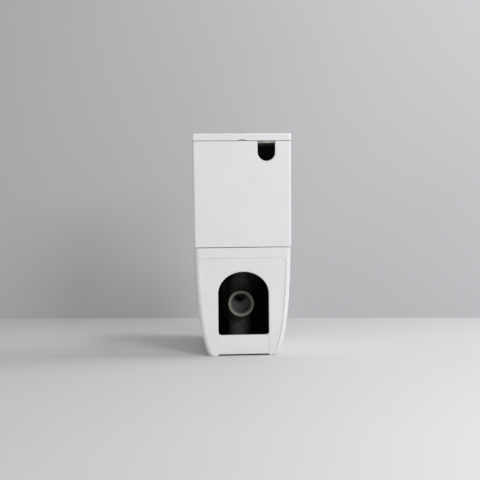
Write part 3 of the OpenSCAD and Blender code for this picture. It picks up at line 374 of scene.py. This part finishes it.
def rear_cuts(body, x, y, z):
    half_w = np.interp(z, SKIRT_Z, SKIRT_W)
    panel = common(np.abs(x) - half_w + PANEL_IN, z - PANEL_TOP, r=PANEL_R)
    body = cut(body, common(panel, WALL_Y - PANEL_DEPTH - y, r=0.0015), r=0.0038)
    strip = common(np.abs(x) - ARCH_X, z - ARCH_SILL, r=0.001)
    body = cut(body, common(strip, WALL_Y - STRIP_DEPTH - y, r=0.0008), r=0.0012)
    body = cut(body, np.maximum(arch(x, z), WALL_Y - ARCH_DEPTH - y), r=0.0042)
    foot = common(np.abs(x) - ARCH_X, z - FOOT_GAP, r=0.002)
    return cut(body, np.maximum(foot, WALL_Y - ARCH_DEPTH - y), r=0.0022)


def casting(x, y, z):
    """Skirt, deck, basin, trapway and flush duct, which are one firing."""
    outer = common(skirt(x, y, z, 0, WALL_Y, REAR_R), z - PAN_H, TOP_R)
    outer = common(outer, -z, r=0.004)
    body = cut(outer, hollow(x, y, z), r=0.003)
    duct = block(x, y, z, *DUCT, r=0.006)
    boss = disc(x, y, z, 0, MID_Y, BOSS_R, BOSS_LOW, BOSS_TOP, r=0.004)
    inner = join(basin(x, y, z, BOWL_T), trapway(x, y, z), r=0.010)
    inner = join(inner, join(duct, boss, r=0.006), r=0.008)
    inner = np.maximum(inner, z - DECK_LOW - 0.006)
    body = join(body, inner, r=0.008)
    way = block(x, y, z, *DUCT_WAY, r=0.004)
    body = cut(body, np.maximum(way, -basin(x, y, z, BOWL_T)), r=0.002)
    body = cut(body, block(x, y, z, *FLUSH_SLOT, r=0.004), r=0.003)
    body = cut(body, basin(x, y, z, 0), r=0.006)
    body = cut(body, water_way(x, y, z), r=0.003)
    core = disc(x, y, z, 0, COLUMN_Y, COLUMN_BORE_R, -0.010, COLUMN_BORE_TOP, r=0.004)
    body = cut(body, core, r=0.002)
    body = cut(body, disc(x, y, z, 0, MID_Y, GASKET_R, DECK_LOW, OVER_DECK), r=0.002)
    body = cut(body, disc(x, y, z, 0, MID_Y, FLUSH_R, 0.370, OVER_DECK), r=0.002)
    side = np.abs(x)
    body = cut(body, disc(side, y, z, BOLT_X, MID_Y, BOLT_HOLE_R, IN_DECK, OVER_DECK), r=0.001)
    body = cut(body, disc(side, y, z, HINGE_X, HINGE[0], BOLT_HOLE_R, IN_DECK, OVER_DECK), r=0.001)
    body = cut(body, disc(x, y, z, FILL_X, MID_Y, FILL_NUT_R, IN_DECK, OVER_DECK), r=0.001)
    return rear_cuts(body, x, y, z)


def bare_clay_shade_inside(x, y, z):
    """1 on the bare clay inside the skirt, 0 on the glaze; there the clay is painted near black as
    the shade inside the closed skirt.
    """
    bare = np.clip((0.0035 - hollow(x, y, z)) / 0.003, 0, 1)
    glazed = np.clip((0.004 - basin(x, y, z, 0)) / 0.003, 0, 1)
    return bare * (1 - glazed)


def bore_painted_shade(x, y, z):
    """1 inside the water way, whose white glaze is painted dark grey there as shade, 0 from the
    flared mouth on.
    """
    deep = np.clip((0.1755 - y) / 0.003, 0, 1)
    return np.clip((0.002 - water_way(x, y, z)) / 0.002, 0, 1) * deep


def spigot_end_shaded(x, y, z):
    """1 on the turned end of the spigot, bare clay painted a darker grey as the shade inside the
    skirt.
    """
    near = np.clip((0.058 - np.hypot(x, z - OUTLET_Z)) / 0.004, 0, 1)
    return near * np.clip((y - 0.140) / 0.020, 0, 1)


TANK_HALF_W, TANK_TAPER = 0.1835, 0.0025
TANK_FRONT, TANK_LEAN = 0.165, 0.012
TANK_FRONT_R, TANK_REAR_R, TANK_LEAST_R = 0.024, 0.009, 0.002
TANK_OPEN = 0.9
NOTCH_CUT_Y = 0.312
FLUSH_TAIL_R, FILL_TAIL_R = 0.032, 0.0112


def tank(x, y, z, inset, low, high, edge):
    """Tapered box of the cistern, this far inside its faces."""
    t = (z - CISTERN_Z) / (CISTERN_TOP - CISTERN_Z)
    half_w = TANK_HALF_W + TANK_TAPER * t - inset
    front = TANK_FRONT - TANK_LEAN * t + inset
    front_r, rear_r = TANK_FRONT_R - inset, max(TANK_REAR_R - inset, TANK_LEAST_R)
    side = common(np.abs(x) - half_w, front - y, front_r)
    side = common(side, y - WALL_Y + inset, rear_r)
    return common(side, slab(z, low, high), edge)


def tank_inside(x, y, z):
    return tank(x, y, z, CISTERN_T, TANK_FLOOR, TANK_OPEN, 0.006)


def notch(x, z):
    off_axis = np.where(z < NOTCH_Z, np.hypot(x - NOTCH_X, z - NOTCH_Z), np.abs(x - NOTCH_X))
    return off_axis - NOTCH_R


def cistern(x, y, z):
    body = tank(x, y, z, 0, CISTERN_Z, CISTERN_TOP, 0.0025)
    body = cut(body, tank_inside(x, y, z), r=0.0025)
    body = cut(body, np.maximum(notch(x, z), NOTCH_CUT_Y - y), r=0.0042)
    for centre_x, radius in ((0, FLUSH_TAIL_R), (FILL_X, FILL_TAIL_R)):
        body = cut(body, disc(x, y, z, centre_x, MID_Y, radius, 0.400, 0.440), r=0.001)
    return cut(body, disc(np.abs(x), y, z, BOLT_X, MID_Y, BOLT_HOLE_R, 0.400, 0.440), r=0.001)


LID_HALF_W, LID_FRONT = 0.1875, 0.150
LID_SHADOW_GAP = 0.0014
LIP_IN, LIP_DROP, LIP_TOP = 0.012, 0.007, 0.820
LID_HOLLOW_IN, LID_HOLLOW_TOP = 0.019, 0.827
BUTTON_HOLE_R = 0.0252
SCOOP_R, SCOOP_RISE, SCOOP_CUT_Y = 0.030, 0.006, 0.315


def lid_plan(x, y, inset, front_r, rear_r):
    side = common(np.abs(x) - LID_HALF_W + inset, LID_FRONT + inset - y, front_r)
    return common(side, y - WALL_Y + inset, rear_r)


def lid(x, y, z):
    body = common(lid_plan(x, y, 0, 0.026, 0.009), z - LID_TOP, r=0.006)
    body = common(body, CISTERN_TOP + LID_SHADOW_GAP - z, r=0.003)
    lip = lid_plan(x, y, LIP_IN, 0.014, 0.004)
    body = join(body, common(lip, slab(z, CISTERN_TOP - LIP_DROP, LIP_TOP), r=0.0015), r=0.001)
    inside = lid_plan(x, y, LID_HOLLOW_IN, 0.008, 0.004)
    body = cut(body, common(inside, slab(z, 0.780, LID_HOLLOW_TOP), r=0.003), r=0.0015)
    body = cut(body, disc(x, y, z, 0, MID_Y, BUTTON_HOLE_R, 0.810, 0.860), r=0.001)
    scoop = np.hypot(x, z - (CISTERN_TOP + SCOOP_RISE - SCOOP_R)) - SCOOP_R
    return cut(body, np.maximum(scoop, SCOOP_CUT_Y - y), r=0.002)


def lid_bare(_x, _y, z):
    """1 on the unglazed underside of the lid."""
    return np.clip((CISTERN_TOP + 0.0020 - z) / 0.001, 0, 1)


def cistern_bare_shade(x, y, z):
    """1 inside the tank, where the bare clay is painted near black as shade, 0 outside."""
    return np.clip((0.004 - tank_inside(x, y, z)) / 0.003, 0, 1)


# ---------------------------------------------------------------- seat
RING_Z, RING_TOP, COVER_Z, COVER_TOP = 0.416, 0.434, 0.437, 0.449
RING_HALF_W, RING_FRONT, RING_BACK = 0.180, -0.323, 0.078
COVER_HALF_W, COVER_FRONT, COVER_BACK = 0.181, -0.325, 0.1085
SEAT_CORNER = 0.030
CROWN, CROWN_REACH = 0.005, 0.120
KNUCKLE_R, PIN_HOLE_R = 0.0095, 0.0051
RING_KNUCKLE, COVER_KNUCKLE = (0.0885, 0.1045), (0.0505, 0.0665)
BARREL_R, BARREL_HALF_L = 0.0105, 0.0095
POST_FLANGE_R, POST_FLANGE_T = 0.022, 0.002


def seat_ring(x, y, z):
    outer = d_plan(x, y, RING_HALF_W, RING_FRONT, RING_BACK, SEAT_CORNER)
    body = common(outer, z - RING_TOP, r=0.007)
    body = common(body, RING_Z - z, r=0.003)
    body = cut(body, oval(x, y, 0.113, -0.261, 0.024, -0.104), r=0.0075)
    side = np.abs(x)
    low, high = RING_KNUCKLE
    arm = block(side, y, z, (low, 0.070, 0.4165), (high, HINGE[0], 0.4315), r=0.002)
    knuckle = bar(side, y, z, *HINGE, KNUCKLE_R, low, high, r=0.0012)
    body = join(body, join(arm, knuckle, r=0.003), r=0.003)
    return cut(body, bar(side, y, z, *HINGE, PIN_HOLE_R, 0.080, 0.110, r=0.0002), r=0.0004)


def seat_cover(x, y, z):
    outer = d_plan(x, y, COVER_HALF_W, COVER_FRONT, COVER_BACK, SEAT_CORNER)
    depth = np.clip(-outer / CROWN_REACH, 0, 1)
    crown = CROWN * (1 - (1 - depth) ** 2)
    body = common(outer, z - COVER_TOP - crown, r=0.005)
    body = common(body, COVER_Z - z, r=0.003)
    side = np.abs(x)
    low, high = COVER_KNUCKLE
    arm = block(side, y, z, (low, 0.0885, HINGE[1]), (high, 0.1075, COVER_Z + 0.004), r=0.002)
    knuckle = bar(side, y, z, *HINGE, KNUCKLE_R, low, high, r=0.0012)
    body = join(body, join(arm, knuckle, r=0.002), r=0.002)
    return cut(body, bar(side, y, z, *HINGE, PIN_HOLE_R, 0.045, 0.072, r=0.0002), r=0.0004)


def hinge_posts(x, y, z):
    side = np.abs(x)
    flange_top = PAN_H + POST_FLANGE_T
    flange = disc(side, y, z, HINGE_X, HINGE[0], POST_FLANGE_R, PAN_H, flange_top, r=0.0008)
    post = disc(side, y, z, HINGE_X, HINGE[0], BARREL_R, PAN_H, HINGE[1], r=0.0005)
    low, high = HINGE_X - BARREL_HALF_L, HINGE_X + BARREL_HALF_L
    barrel = bar(side, y, z, *HINGE, BARREL_R, low, high, r=0.0012)
    body = join(join(flange, post, r=0.0015), barrel, r=0.001)
    hole = bar(side, y, z, *HINGE, PIN_HOLE_R, HINGE_X - 0.03, HINGE_X + 0.03, r=0.0002)
    return cut(body, hole, r=0.0004)


# ---------------------------------------------------------------- flush button
FLANGE_T = 0.004
FLANGE_TOP = LID_TOP + FLANGE_T
FLANGE_R, FLANGE_SLOPE = 0.028, 0.0015
BEZEL_R, BEZEL_IN_R, BEZEL_LOW, BEZEL_FLOOR = 0.0242, 0.023, 0.801, 0.805
BUTTON_R, BUTTON_LOW = 0.0227, 0.836
DOME_H = 0.00695
DOME_R = (BEZEL_IN_R ** 2 + DOME_H ** 2) / (2 * DOME_H)
SPLIT_X = 0.006
ROD_X, ROD_R, ROD_HOLE_R = 0.014, 0.003, 0.0033
ROD_LOW, ROD_TOP = 0.7378, 0.838


def bezel(x, y, z):
    off_axis = np.hypot(x, y - MID_Y)
    cone = off_axis - FLANGE_R + FLANGE_SLOPE * (z - LID_TOP) / FLANGE_T
    body = common(cone, slab(z, LID_TOP, FLANGE_TOP), r=0.0012)
    cup = common(off_axis - BEZEL_R, slab(z, BEZEL_LOW, LID_TOP + 0.001), r=0.0005)
    body = join(body, cup, r=0.0003)
    well = common(off_axis - BEZEL_IN_R, slab(z, BEZEL_FLOOR, 0.870), r=0.001)
    body = cut(body, well, r=0.0006)
    rod_hole = disc(np.abs(x), y, z, ROD_X, MID_Y, ROD_HOLE_R, 0.790, 0.810, r=0.0003)
    return cut(body, rod_hole, r=0.0003)


def button(x, y, z, side):
    """One of the two presses: side is -1 for the full flush and 1 for the half flush."""
    off_axis = np.hypot(x, y - MID_Y)
    dome = np.sqrt(x * x + (y - MID_Y) ** 2 + (z - FLANGE_TOP - DOME_H + DOME_R) ** 2) - DOME_R
    body = common(common(off_axis - BUTTON_R, BUTTON_LOW - z, r=0.001), dome, r=0.0008)
    body = common(body, side * (SPLIT_X - x) + 0.0003, r=0.0007)
    rod = disc(x, y, z, side * ROD_X, MID_Y, ROD_R, ROD_LOW, ROD_TOP, r=0.0004)
    return join(body, rod, r=0.0005)


SPRING_LOW, SPRING_TOP = BEZEL_FLOOR, BUTTON_LOW
SPRING_R, WIRE_R, SPRING_TURNS = 0.0054, 0.0005, 7
WIRE_SIDES, TURN_STEPS = 10, 24


def coil_spring(name, centre_x):
    """Compression spring with closed end turns round one push rod."""
    turn = np.linspace(0, SPRING_TURNS, SPRING_TURNS * TURN_STEPS + 1)[:, None]
    height = np.interp(turn, [0, 1, SPRING_TURNS - 1, SPRING_TURNS],
                       [SPRING_LOW + WIRE_R, SPRING_LOW + 3 * WIRE_R,
                        SPRING_TOP - 3 * WIRE_R, SPRING_TOP - WIRE_R])
    a, b = 2 * math.pi * turn, 2 * math.pi * np.arange(WIRE_SIDES) / WIRE_SIDES
    reach = SPRING_R + WIRE_R * np.cos(b)
    points = np.stack([centre_x + reach * np.cos(a), MID_Y + reach * np.sin(a),
                       height + WIRE_R * np.sin(b)], 2)
    last = (len(turn) - 1) * WIRE_SIDES
    faces = [list(range(WIRE_SIDES)), [last + j for j in reversed(range(WIRE_SIDES))]]
    for near in range(0, last, WIRE_SIDES):
        far = near + WIRE_SIDES
        for j in range(WIRE_SIDES):
            k = (j + 1) % WIRE_SIDES
            faces.append([near + j, far + j, far + k, near + k])
    mesh = bpy.data.meshes.new(name)
    mesh.from_pydata(points.reshape(-1, 3).tolist(), [], faces)
    mesh.polygons.foreach_set("use_smooth", np.ones(len(faces), bool))
    obj = bpy.data.objects.new(name, mesh)
    bpy.context.scene.collection.objects.link(obj)
    return obj


# ---------------------------------------------------------------- materials
class Shader:
    """Node tree of one material, with the Principled node at hand."""

    def __init__(self, name):
        self.material = bpy.data.materials.new(name)
        self.material.use_nodes = True
        self.tree = self.material.node_tree
        self.principled = self.tree.nodes["Principled BSDF"]
        self.coord = self.tree.nodes.new("ShaderNodeTexCoord")

    def node(self, kind, **settings):
        n = self.tree.nodes.new(kind)
        for key, value in settings.items():
            if hasattr(n, key):
                setattr(n, key, value)
            else:
                n.inputs[key.replace("_", " ")].default_value = value
        return n

    def link(self, a, b):
        self.tree.links.new(a, b)

    def noise(self, scale, detail=3.0, rough=0.5):
        n = self.node("ShaderNodeTexNoise")
        n.inputs["Scale"].default_value = scale
        n.inputs["Detail"].default_value = detail
        n.inputs["Roughness"].default_value = rough
        self.link(self.coord.outputs["Object"], n.inputs["Vector"])
        return n.outputs["Fac"]

    def spread(self, value, low, high, from_low=0.3, from_high=0.7):
        n = self.node("ShaderNodeMapRange")
        n.inputs["From Min"].default_value = from_low
        n.inputs["From Max"].default_value = from_high
        n.inputs["To Min"].default_value = low
        n.inputs["To Max"].default_value = high
        self.link(value, n.inputs["Value"])
        return n.outputs["Result"]

    def mix(self, fac, a, b):
        """Colour between a and b, each a colour or an output."""
        n = self.node("ShaderNodeMix", data_type="RGBA")
        self.link(fac, n.inputs[0])
        for value, socket in ((a, n.inputs[6]), (b, n.inputs[7])):
            if isinstance(value, tuple):
                socket.default_value = (*value, 1)
            else:
                self.link(value, socket)
        return n.outputs[2]

    def bump(self, height, distance, strength=1.0, under=None):
        n = self.node("ShaderNodeBump")
        n.inputs["Distance"].default_value = distance
        n.inputs["Strength"].default_value = strength
        self.link(height, n.inputs["Height"])
        if under is not None:
            self.link(under, n.inputs["Normal"])
        return n.outputs["Normal"]

    def attribute(self, name):
        return self.node("ShaderNodeAttribute", attribute_name=name).outputs["Fac"]

    def set(self, **sockets):
        for key, value in sockets.items():
            socket = self.principled.inputs[key.replace("_", " ")]
            if isinstance(value, bpy.types.NodeSocket):
                self.link(value, socket)
            elif isinstance(value, tuple):
                socket.default_value = (*value, 1)
            else:
                socket.default_value = value


GLAZE, GLAZE_SHADE = (0.83, 0.833, 0.843), (0.80, 0.803, 0.813)
# Water way: its white glaze painted dark grey as the shade deep inside, mottled at random.
BORE_PAINTED_SHADE, BORE_PAINTED_SHADE_MOTTLE = (0.27, 0.265, 0.26), (0.20, 0.195, 0.19)
# Turned spigot end: bare clay, warmer than the glaze, painted a darker grey as shade, mottled at
# random.
TURNED_CLAY_SHADED, TURNED_CLAY_SHADED_MOTTLE = (0.33, 0.315, 0.27), (0.27, 0.26, 0.22)
CLAY_SHADE, CLAY_ROUGH = 0.6, 0.85


def shade_of(colour, share):
    return tuple(share * c for c in colour)


def glaze(name, clay_and_shade_colour, spout=False):
    """Fired white glaze, bare clay where the bare-clay attribute is 1, painted dark as shade
    inside casting and cistern.
    With `spout`, "spout" marks turned clay painted a darker grey as shade, and "bore" the water
    way, its glaze painted dark grey as shade."""
    s = Shader(name)
    colour = s.mix(s.spread(s.noise(9, 2), 0, 1), GLAZE, GLAZE_SHADE)
    rough = s.spread(s.noise(60, 3), 0.09, 0.16)
    normal = s.bump(s.noise(38, 2), 0.0004, 0.35)
    mask = s.attribute("bare_and_shade")
    # Bare clay colour; inside the casting and the cistern it is painted shade.
    clay = s.mix(s.spread(s.noise(70, 5), 0, 1), clay_and_shade_colour, shade_of(clay_and_shade_colour, CLAY_SHADE))
    if spout:
        # Turned spigot end, painted darker as shade.
        turned = s.mix(s.spread(s.noise(120, 4), 0, 1), TURNED_CLAY_SHADED, TURNED_CLAY_SHADED_MOTTLE)
        clay = s.mix(s.attribute("spout"), clay, turned)
        # Water way glaze painted dark grey as shade.
        bore_shade = s.mix(s.spread(s.noise(40, 4), 0, 1), BORE_PAINTED_SHADE, BORE_PAINTED_SHADE_MOTTLE)
        clay = s.mix(s.attribute("bore"), clay, bore_shade)
    colour = s.mix(mask, colour, clay)
    n = s.node("ShaderNodeMix", data_type="FLOAT")
    s.link(mask, n.inputs[0])
    s.link(rough, n.inputs[2])
    n.inputs[3].default_value = CLAY_ROUGH
    rough = n.outputs[0]
    grain = s.node("ShaderNodeMath", operation="MULTIPLY")
    s.link(s.noise(900, 3), grain.inputs[0])
    s.link(mask, grain.inputs[1])
    normal = s.bump(grain.outputs[0], 0.0004, 0.6, under=normal)
    s.set(Base_Color=colour, Roughness=rough, Normal=normal, Specular_IOR_Level=0.5)
    return s.material


def plastic(name, colour, rough=0.3, grain=500, depth=0.00006):
    """Moulded plastic with a faint flow pattern and moulding grain."""
    s = Shader(name)
    s.set(Base_Color=s.mix(s.spread(s.noise(14, 3), 0, 1), colour, shade_of(colour, 0.97)),
          Roughness=s.spread(s.noise(90, 3), 0.85 * rough, 1.2 * rough),
          Normal=s.bump(s.noise(grain, 2), depth, 0.5))
    return s.material


def metal(name, colour, rough=0.12, streak=(1, 1, 1), depth=0.00003):
    """Metal whose fine grain runs along the axis with the smallest streak."""
    s = Shader(name)
    mapping = s.node("ShaderNodeMapping")
    mapping.inputs["Scale"].default_value = streak
    s.link(s.coord.outputs["Object"], mapping.inputs["Vector"])
    n = s.node("ShaderNodeTexNoise")
    n.inputs["Scale"].default_value = 260
    n.inputs["Detail"].default_value = 4
    s.link(mapping.outputs["Vector"], n.inputs["Vector"])
    s.set(Metallic=1.0,
          Base_Color=s.mix(s.spread(s.noise(30, 3), 0, 1), colour, shade_of(colour, 0.88)),
          Roughness=s.spread(n.outputs["Fac"], 0.7 * rough, 1.5 * rough),
          Normal=s.bump(n.outputs["Fac"], depth, 0.4))
    return s.material


def rubber(name, colour):
    s = Shader(name)
    s.set(Base_Color=s.mix(s.spread(s.noise(120, 5), 0, 1), colour, shade_of(colour, 1.6)),
          Roughness=s.spread(s.noise(200, 4), 0.6, 0.85),
          Normal=s.bump(s.noise(700, 3), 0.0002, 0.5))
    return s.material


# Inside the casting the bare clay is painted near black: the shade of the closed skirt, not the
# clay's colour.
casting_glaze = glaze("casting_glaze", (0.12, 0.115, 0.11), spout=True)
# Inside the tank the bare clay is painted near black as the shade under the lid.
cistern_glaze = glaze("cistern_glaze", (0.10, 0.095, 0.09))
lid_glaze = glaze("lid_glaze", (0.55, 0.50, 0.46))
seat_white = plastic("seat_white", (0.84, 0.84, 0.85), 0.16, 300, 0.00004)
chrome = metal("chrome", (0.80, 0.81, 0.83), 0.07)
steel = metal("steel", (0.55, 0.56, 0.58), 0.28, (1, 1, 0.1))
slot_material = {
    "seat_plastic": seat_white, "chrome": chrome, "steel": steel,
    "brass": metal("brass", (0.66, 0.47, 0.20), 0.25, (1, 1, 0.2)),
    "zinc": metal("zinc", (0.56, 0.57, 0.58), 0.38),
    "rubber": rubber("black_rubber", (0.022, 0.022, 0.024)),
    "seal": rubber("red_seal", (0.33, 0.05, 0.035)),
    "white_plastic": plastic("white_plastic", (0.74, 0.75, 0.76), 0.35),
    "grey_plastic": plastic("grey_plastic", (0.30, 0.31, 0.32), 0.42),
    "blue_plastic": plastic("blue_plastic", (0.06, 0.17, 0.48), 0.35),
    "dark_plastic": plastic("dark_plastic", (0.05, 0.05, 0.055), 0.4),
}


def dress(obj, material, body, slot, *stands_for):
    """Gives a new piece its look and body, and hides the nodes that it stands for."""
    obj.data.materials.clear()
    obj.data.materials.append(material)
    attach(obj, body)
    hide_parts(*stands_for)


# ---------------------------------------------------------------- pieces
COARSE = 0.0035
REAR_FINE = (0.306, 0.328, 0.0015)
REAR_MEDIUM = (0.306, 0.328, 0.002)
TANK_TOP_FINE = (0.798, 0.815, 0.0015)
LID_STEP, SEAT_STEP, HINGE_STEP, BUTTON_STEP = 0.0016, 0.003, 0.001, 0.0008
SEAT_STEP_Z = 0.002

pan = field_mesh("pan_casting", casting,
                 axis(-0.183, 0.183, COARSE), axis(-0.320, 0.325, COARSE, REAR_FINE),
                 axis(0, 0.410, COARSE),
                 {"bare_and_shade": bare_clay_shade_inside, "spout": spigot_end_shaded, "bore": bore_painted_shade})
dress(pan, casting_glaze, "toilet", "ceramic", "pan", "bowl", "trapway")

tank_piece = field_mesh("cistern_shell", cistern,
                        axis(-0.187, 0.187, COARSE), axis(0.153, 0.325, COARSE, REAR_MEDIUM),
                        axis(0.412, 0.812, COARSE, TANK_TOP_FINE), {"bare_and_shade": cistern_bare_shade})
dress(tank_piece, cistern_glaze, "toilet", "ceramic", "cistern")

lid_piece = field_mesh("lid_shell", lid,
                       axis(-0.188, 0.188, COARSE), axis(0.150, 0.325, COARSE, REAR_MEDIUM),
                       axis(0.805, 0.841, LID_STEP), {"bare_and_shade": lid_bare})
dress(lid_piece, lid_glaze, "toilet", "ceramic", "cistern_lid")

ring_piece = field_mesh("seat_ring_moulding", seat_ring, axis(-0.180, 0.180, SEAT_STEP),
                        axis(-0.323, 0.108, SEAT_STEP), axis(0.414, 0.434, SEAT_STEP_Z))
dress(ring_piece, seat_white, "seat_ring", "seat_plastic", "seat_ring")

cover_piece = field_mesh("seat_cover_moulding", seat_cover, axis(-0.181, 0.181, SEAT_STEP),
                         axis(-0.325, 0.1085, SEAT_STEP), axis(0.414, 0.454, SEAT_STEP_Z))
dress(cover_piece, seat_white, "seat_cover", "seat_plastic", "seat_cover")

post_piece = field_mesh("hinge_post_chrome", hinge_posts, axis(-0.100, 0.100, HINGE_STEP),
                        axis(0.076, 0.120, HINGE_STEP), axis(0.410, 0.435, HINGE_STEP))
dress(post_piece, chrome, "toilet", "chrome", "hinge_posts")

bezel_piece = field_mesh("button_bezel_chrome", bezel, axis(-0.028, 0.028, BUTTON_STEP),
                         axis(0.217, 0.273, BUTTON_STEP), axis(0.801, 0.845, BUTTON_STEP))
dress(bezel_piece, chrome, "toilet", "chrome", "button_bezel")

for side, flush in ((-1, "full"), (1, "half")):
    piece = field_mesh(flush + "_flush_button_chrome",
                       lambda x, y, z, side=side: button(x, y, z, side),
                       axis(-0.023, 0.023, BUTTON_STEP), axis(0.222, 0.268, BUTTON_STEP),
                       axis(0.737, 0.852, BUTTON_STEP))
    dress(piece, chrome, flush + "_button", "chrome", flush + "_flush_button")

for side, flush in ((-1, "full"), (1, "half")):
    spring = coil_spring(flush + "_flush_coil", side * ROD_X)
    dress(spring, steel, "toilet", "steel", flush + "_flush_spring")
    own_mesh(spring)

material_of = {p["node"]: p["material_slot"] for p in frame["record"]["subparts"]}
for name, obj in nodes.items():
    if obj.hide_render:
        continue
    obj.data.materials.clear()
    obj.data.materials.append(slot_material[material_of[name]])

# ---------------------------------------------------------------- stage
STAGE_X, STAGE_FRONT, BACKDROP_TOP = 6, 7, 5
BACKDROP_Y = -1.01
BACKDROP_TURN = 0.90


def sheet(name, corners, material):
    mesh = bpy.data.meshes.new(name)
    mesh.from_pydata(corners, [], [(0, 1, 2, 3)])
    obj = bpy.data.objects.new(name, mesh)
    obj.data.materials.append(material)
    bpy.context.scene.collection.objects.link(obj)


def stage_paint(name, colour, shade):
    s = Shader(name)
    s.set(Base_Color=s.mix(s.spread(s.noise(0.7, 2), 0, 1), colour, shade), Roughness=0.7,
          Normal=s.bump(s.noise(180, 3), 0.0006, 0.2))
    return s.material


def open_behind(material):
    """Lets views from the front of the toilet look through the back of the backdrop."""
    tree = material.node_tree
    links = tree.links
    clear = tree.nodes.new("ShaderNodeBsdfTransparent")
    choose = tree.nodes.new("ShaderNodeMixShader")
    geometry = tree.nodes.new("ShaderNodeNewGeometry")
    links.new(geometry.outputs["Backfacing"], choose.inputs[0])
    links.new(tree.nodes["Principled BSDF"].outputs["BSDF"], choose.inputs[1])
    links.new(clear.outputs["BSDF"], choose.inputs[2])
    links.new(choose.outputs["Shader"], tree.nodes["Material Output"].inputs["Surface"])


floor_paint = stage_paint("floor_paint", (0.69, 0.69, 0.70), (0.67, 0.67, 0.68))
wall_paint = stage_paint("wall_paint", (0.60, 0.60, 0.615), (0.58, 0.58, 0.595))
open_behind(wall_paint)
right_y, left_y = BACKDROP_Y + BACKDROP_TURN, BACKDROP_Y - BACKDROP_TURN
right_end, left_end = (-STAGE_X, right_y, 0), (STAGE_X, left_y, 0)
sheet("floor", [right_end, left_end, (STAGE_X, STAGE_FRONT, 0), (-STAGE_X, STAGE_FRONT, 0)],
      floor_paint)
sheet("backdrop", [right_end, (-STAGE_X, right_y, BACKDROP_TOP),
                   (STAGE_X, left_y, BACKDROP_TOP), left_end],
      wall_paint)

# ---------------------------------------------------------------- light
# Name, place, aim, size and watts of each lamp
LAMPS = (
    ("side", (-3.0, 0.05, 3.1), (0, 0, 0.3), (1.6, 1.6), 74),
    ("key", (-1.65, 3.2, 1.8), (0, 0.2, 0.4), (1.2, 1.2), 60),
    ("fill", (2.9, 2.6, 0.9), (1.3, -0.9, 0.9), (2.0, 1.4), 21),
    ("top", (-0.3, 0.1, 3.2), (0, 0.1, 0.5), (2.2, 2.2), 10),
)
WORLD_COLOUR, WORLD_LEVEL = (1.0, 1.0, 1.02, 1), 0.255


def area(name, place, aim, size, power):
    lamp = bpy.data.lights.new(name, "AREA")
    lamp.shape = "RECTANGLE"
    lamp.size, lamp.size_y = size
    lamp.energy = power
    obj = bpy.data.objects.new(name, lamp)
    obj.location = place
    obj.rotation_euler = (Vector(aim) - Vector(place)).to_track_quat("-Z", "Y").to_euler()
    bpy.context.scene.collection.objects.link(obj)


for row in LAMPS:
    area(*row)

world = bpy.data.worlds.new("studio")
bpy.context.scene.world = world
world.use_nodes = True
background = world.node_tree.nodes["Background"]
background.inputs["Color"].default_value = WORLD_COLOUR
background.inputs["Strength"].default_value = WORLD_LEVEL

# ---------------------------------------------------------------- camera
# Solved from corners of the cistern, lid and rear panel in the photograph
YAW, PITCH, ROLL = math.radians(3.752), math.radians(1.39), math.radians(-0.62)
CAMERA_PLACE = (0.241, 3.825, 0.524)
LENS = 69.7
camera_data = bpy.data.cameras.new("photo_camera")
camera_data.sensor_width = 36
camera_data.lens = LENS
camera = bpy.data.objects.new("photo_camera", camera_data)
bpy.context.scene.collection.objects.link(camera)
right = Vector((-math.cos(YAW), math.sin(YAW), 0))
ahead = Vector((-math.sin(YAW) * math.cos(PITCH),
                -math.cos(YAW) * math.cos(PITCH), -math.sin(PITCH)))
up = right.cross(ahead)
right, up = (right * math.cos(ROLL) + up * math.sin(ROLL),
             up * math.cos(ROLL) - right * math.sin(ROLL))
camera.matrix_world = Matrix((
    (right.x, up.x, -ahead.x, CAMERA_PLACE[0]),
    (right.y, up.y, -ahead.y, CAMERA_PLACE[1]),
    (right.z, up.z, -ahead.z, CAMERA_PLACE[2]),
    (0, 0, 0, 1)))
bpy.context.scene.camera = camera

bpy.context.scene.view_settings.view_transform = "Standard"
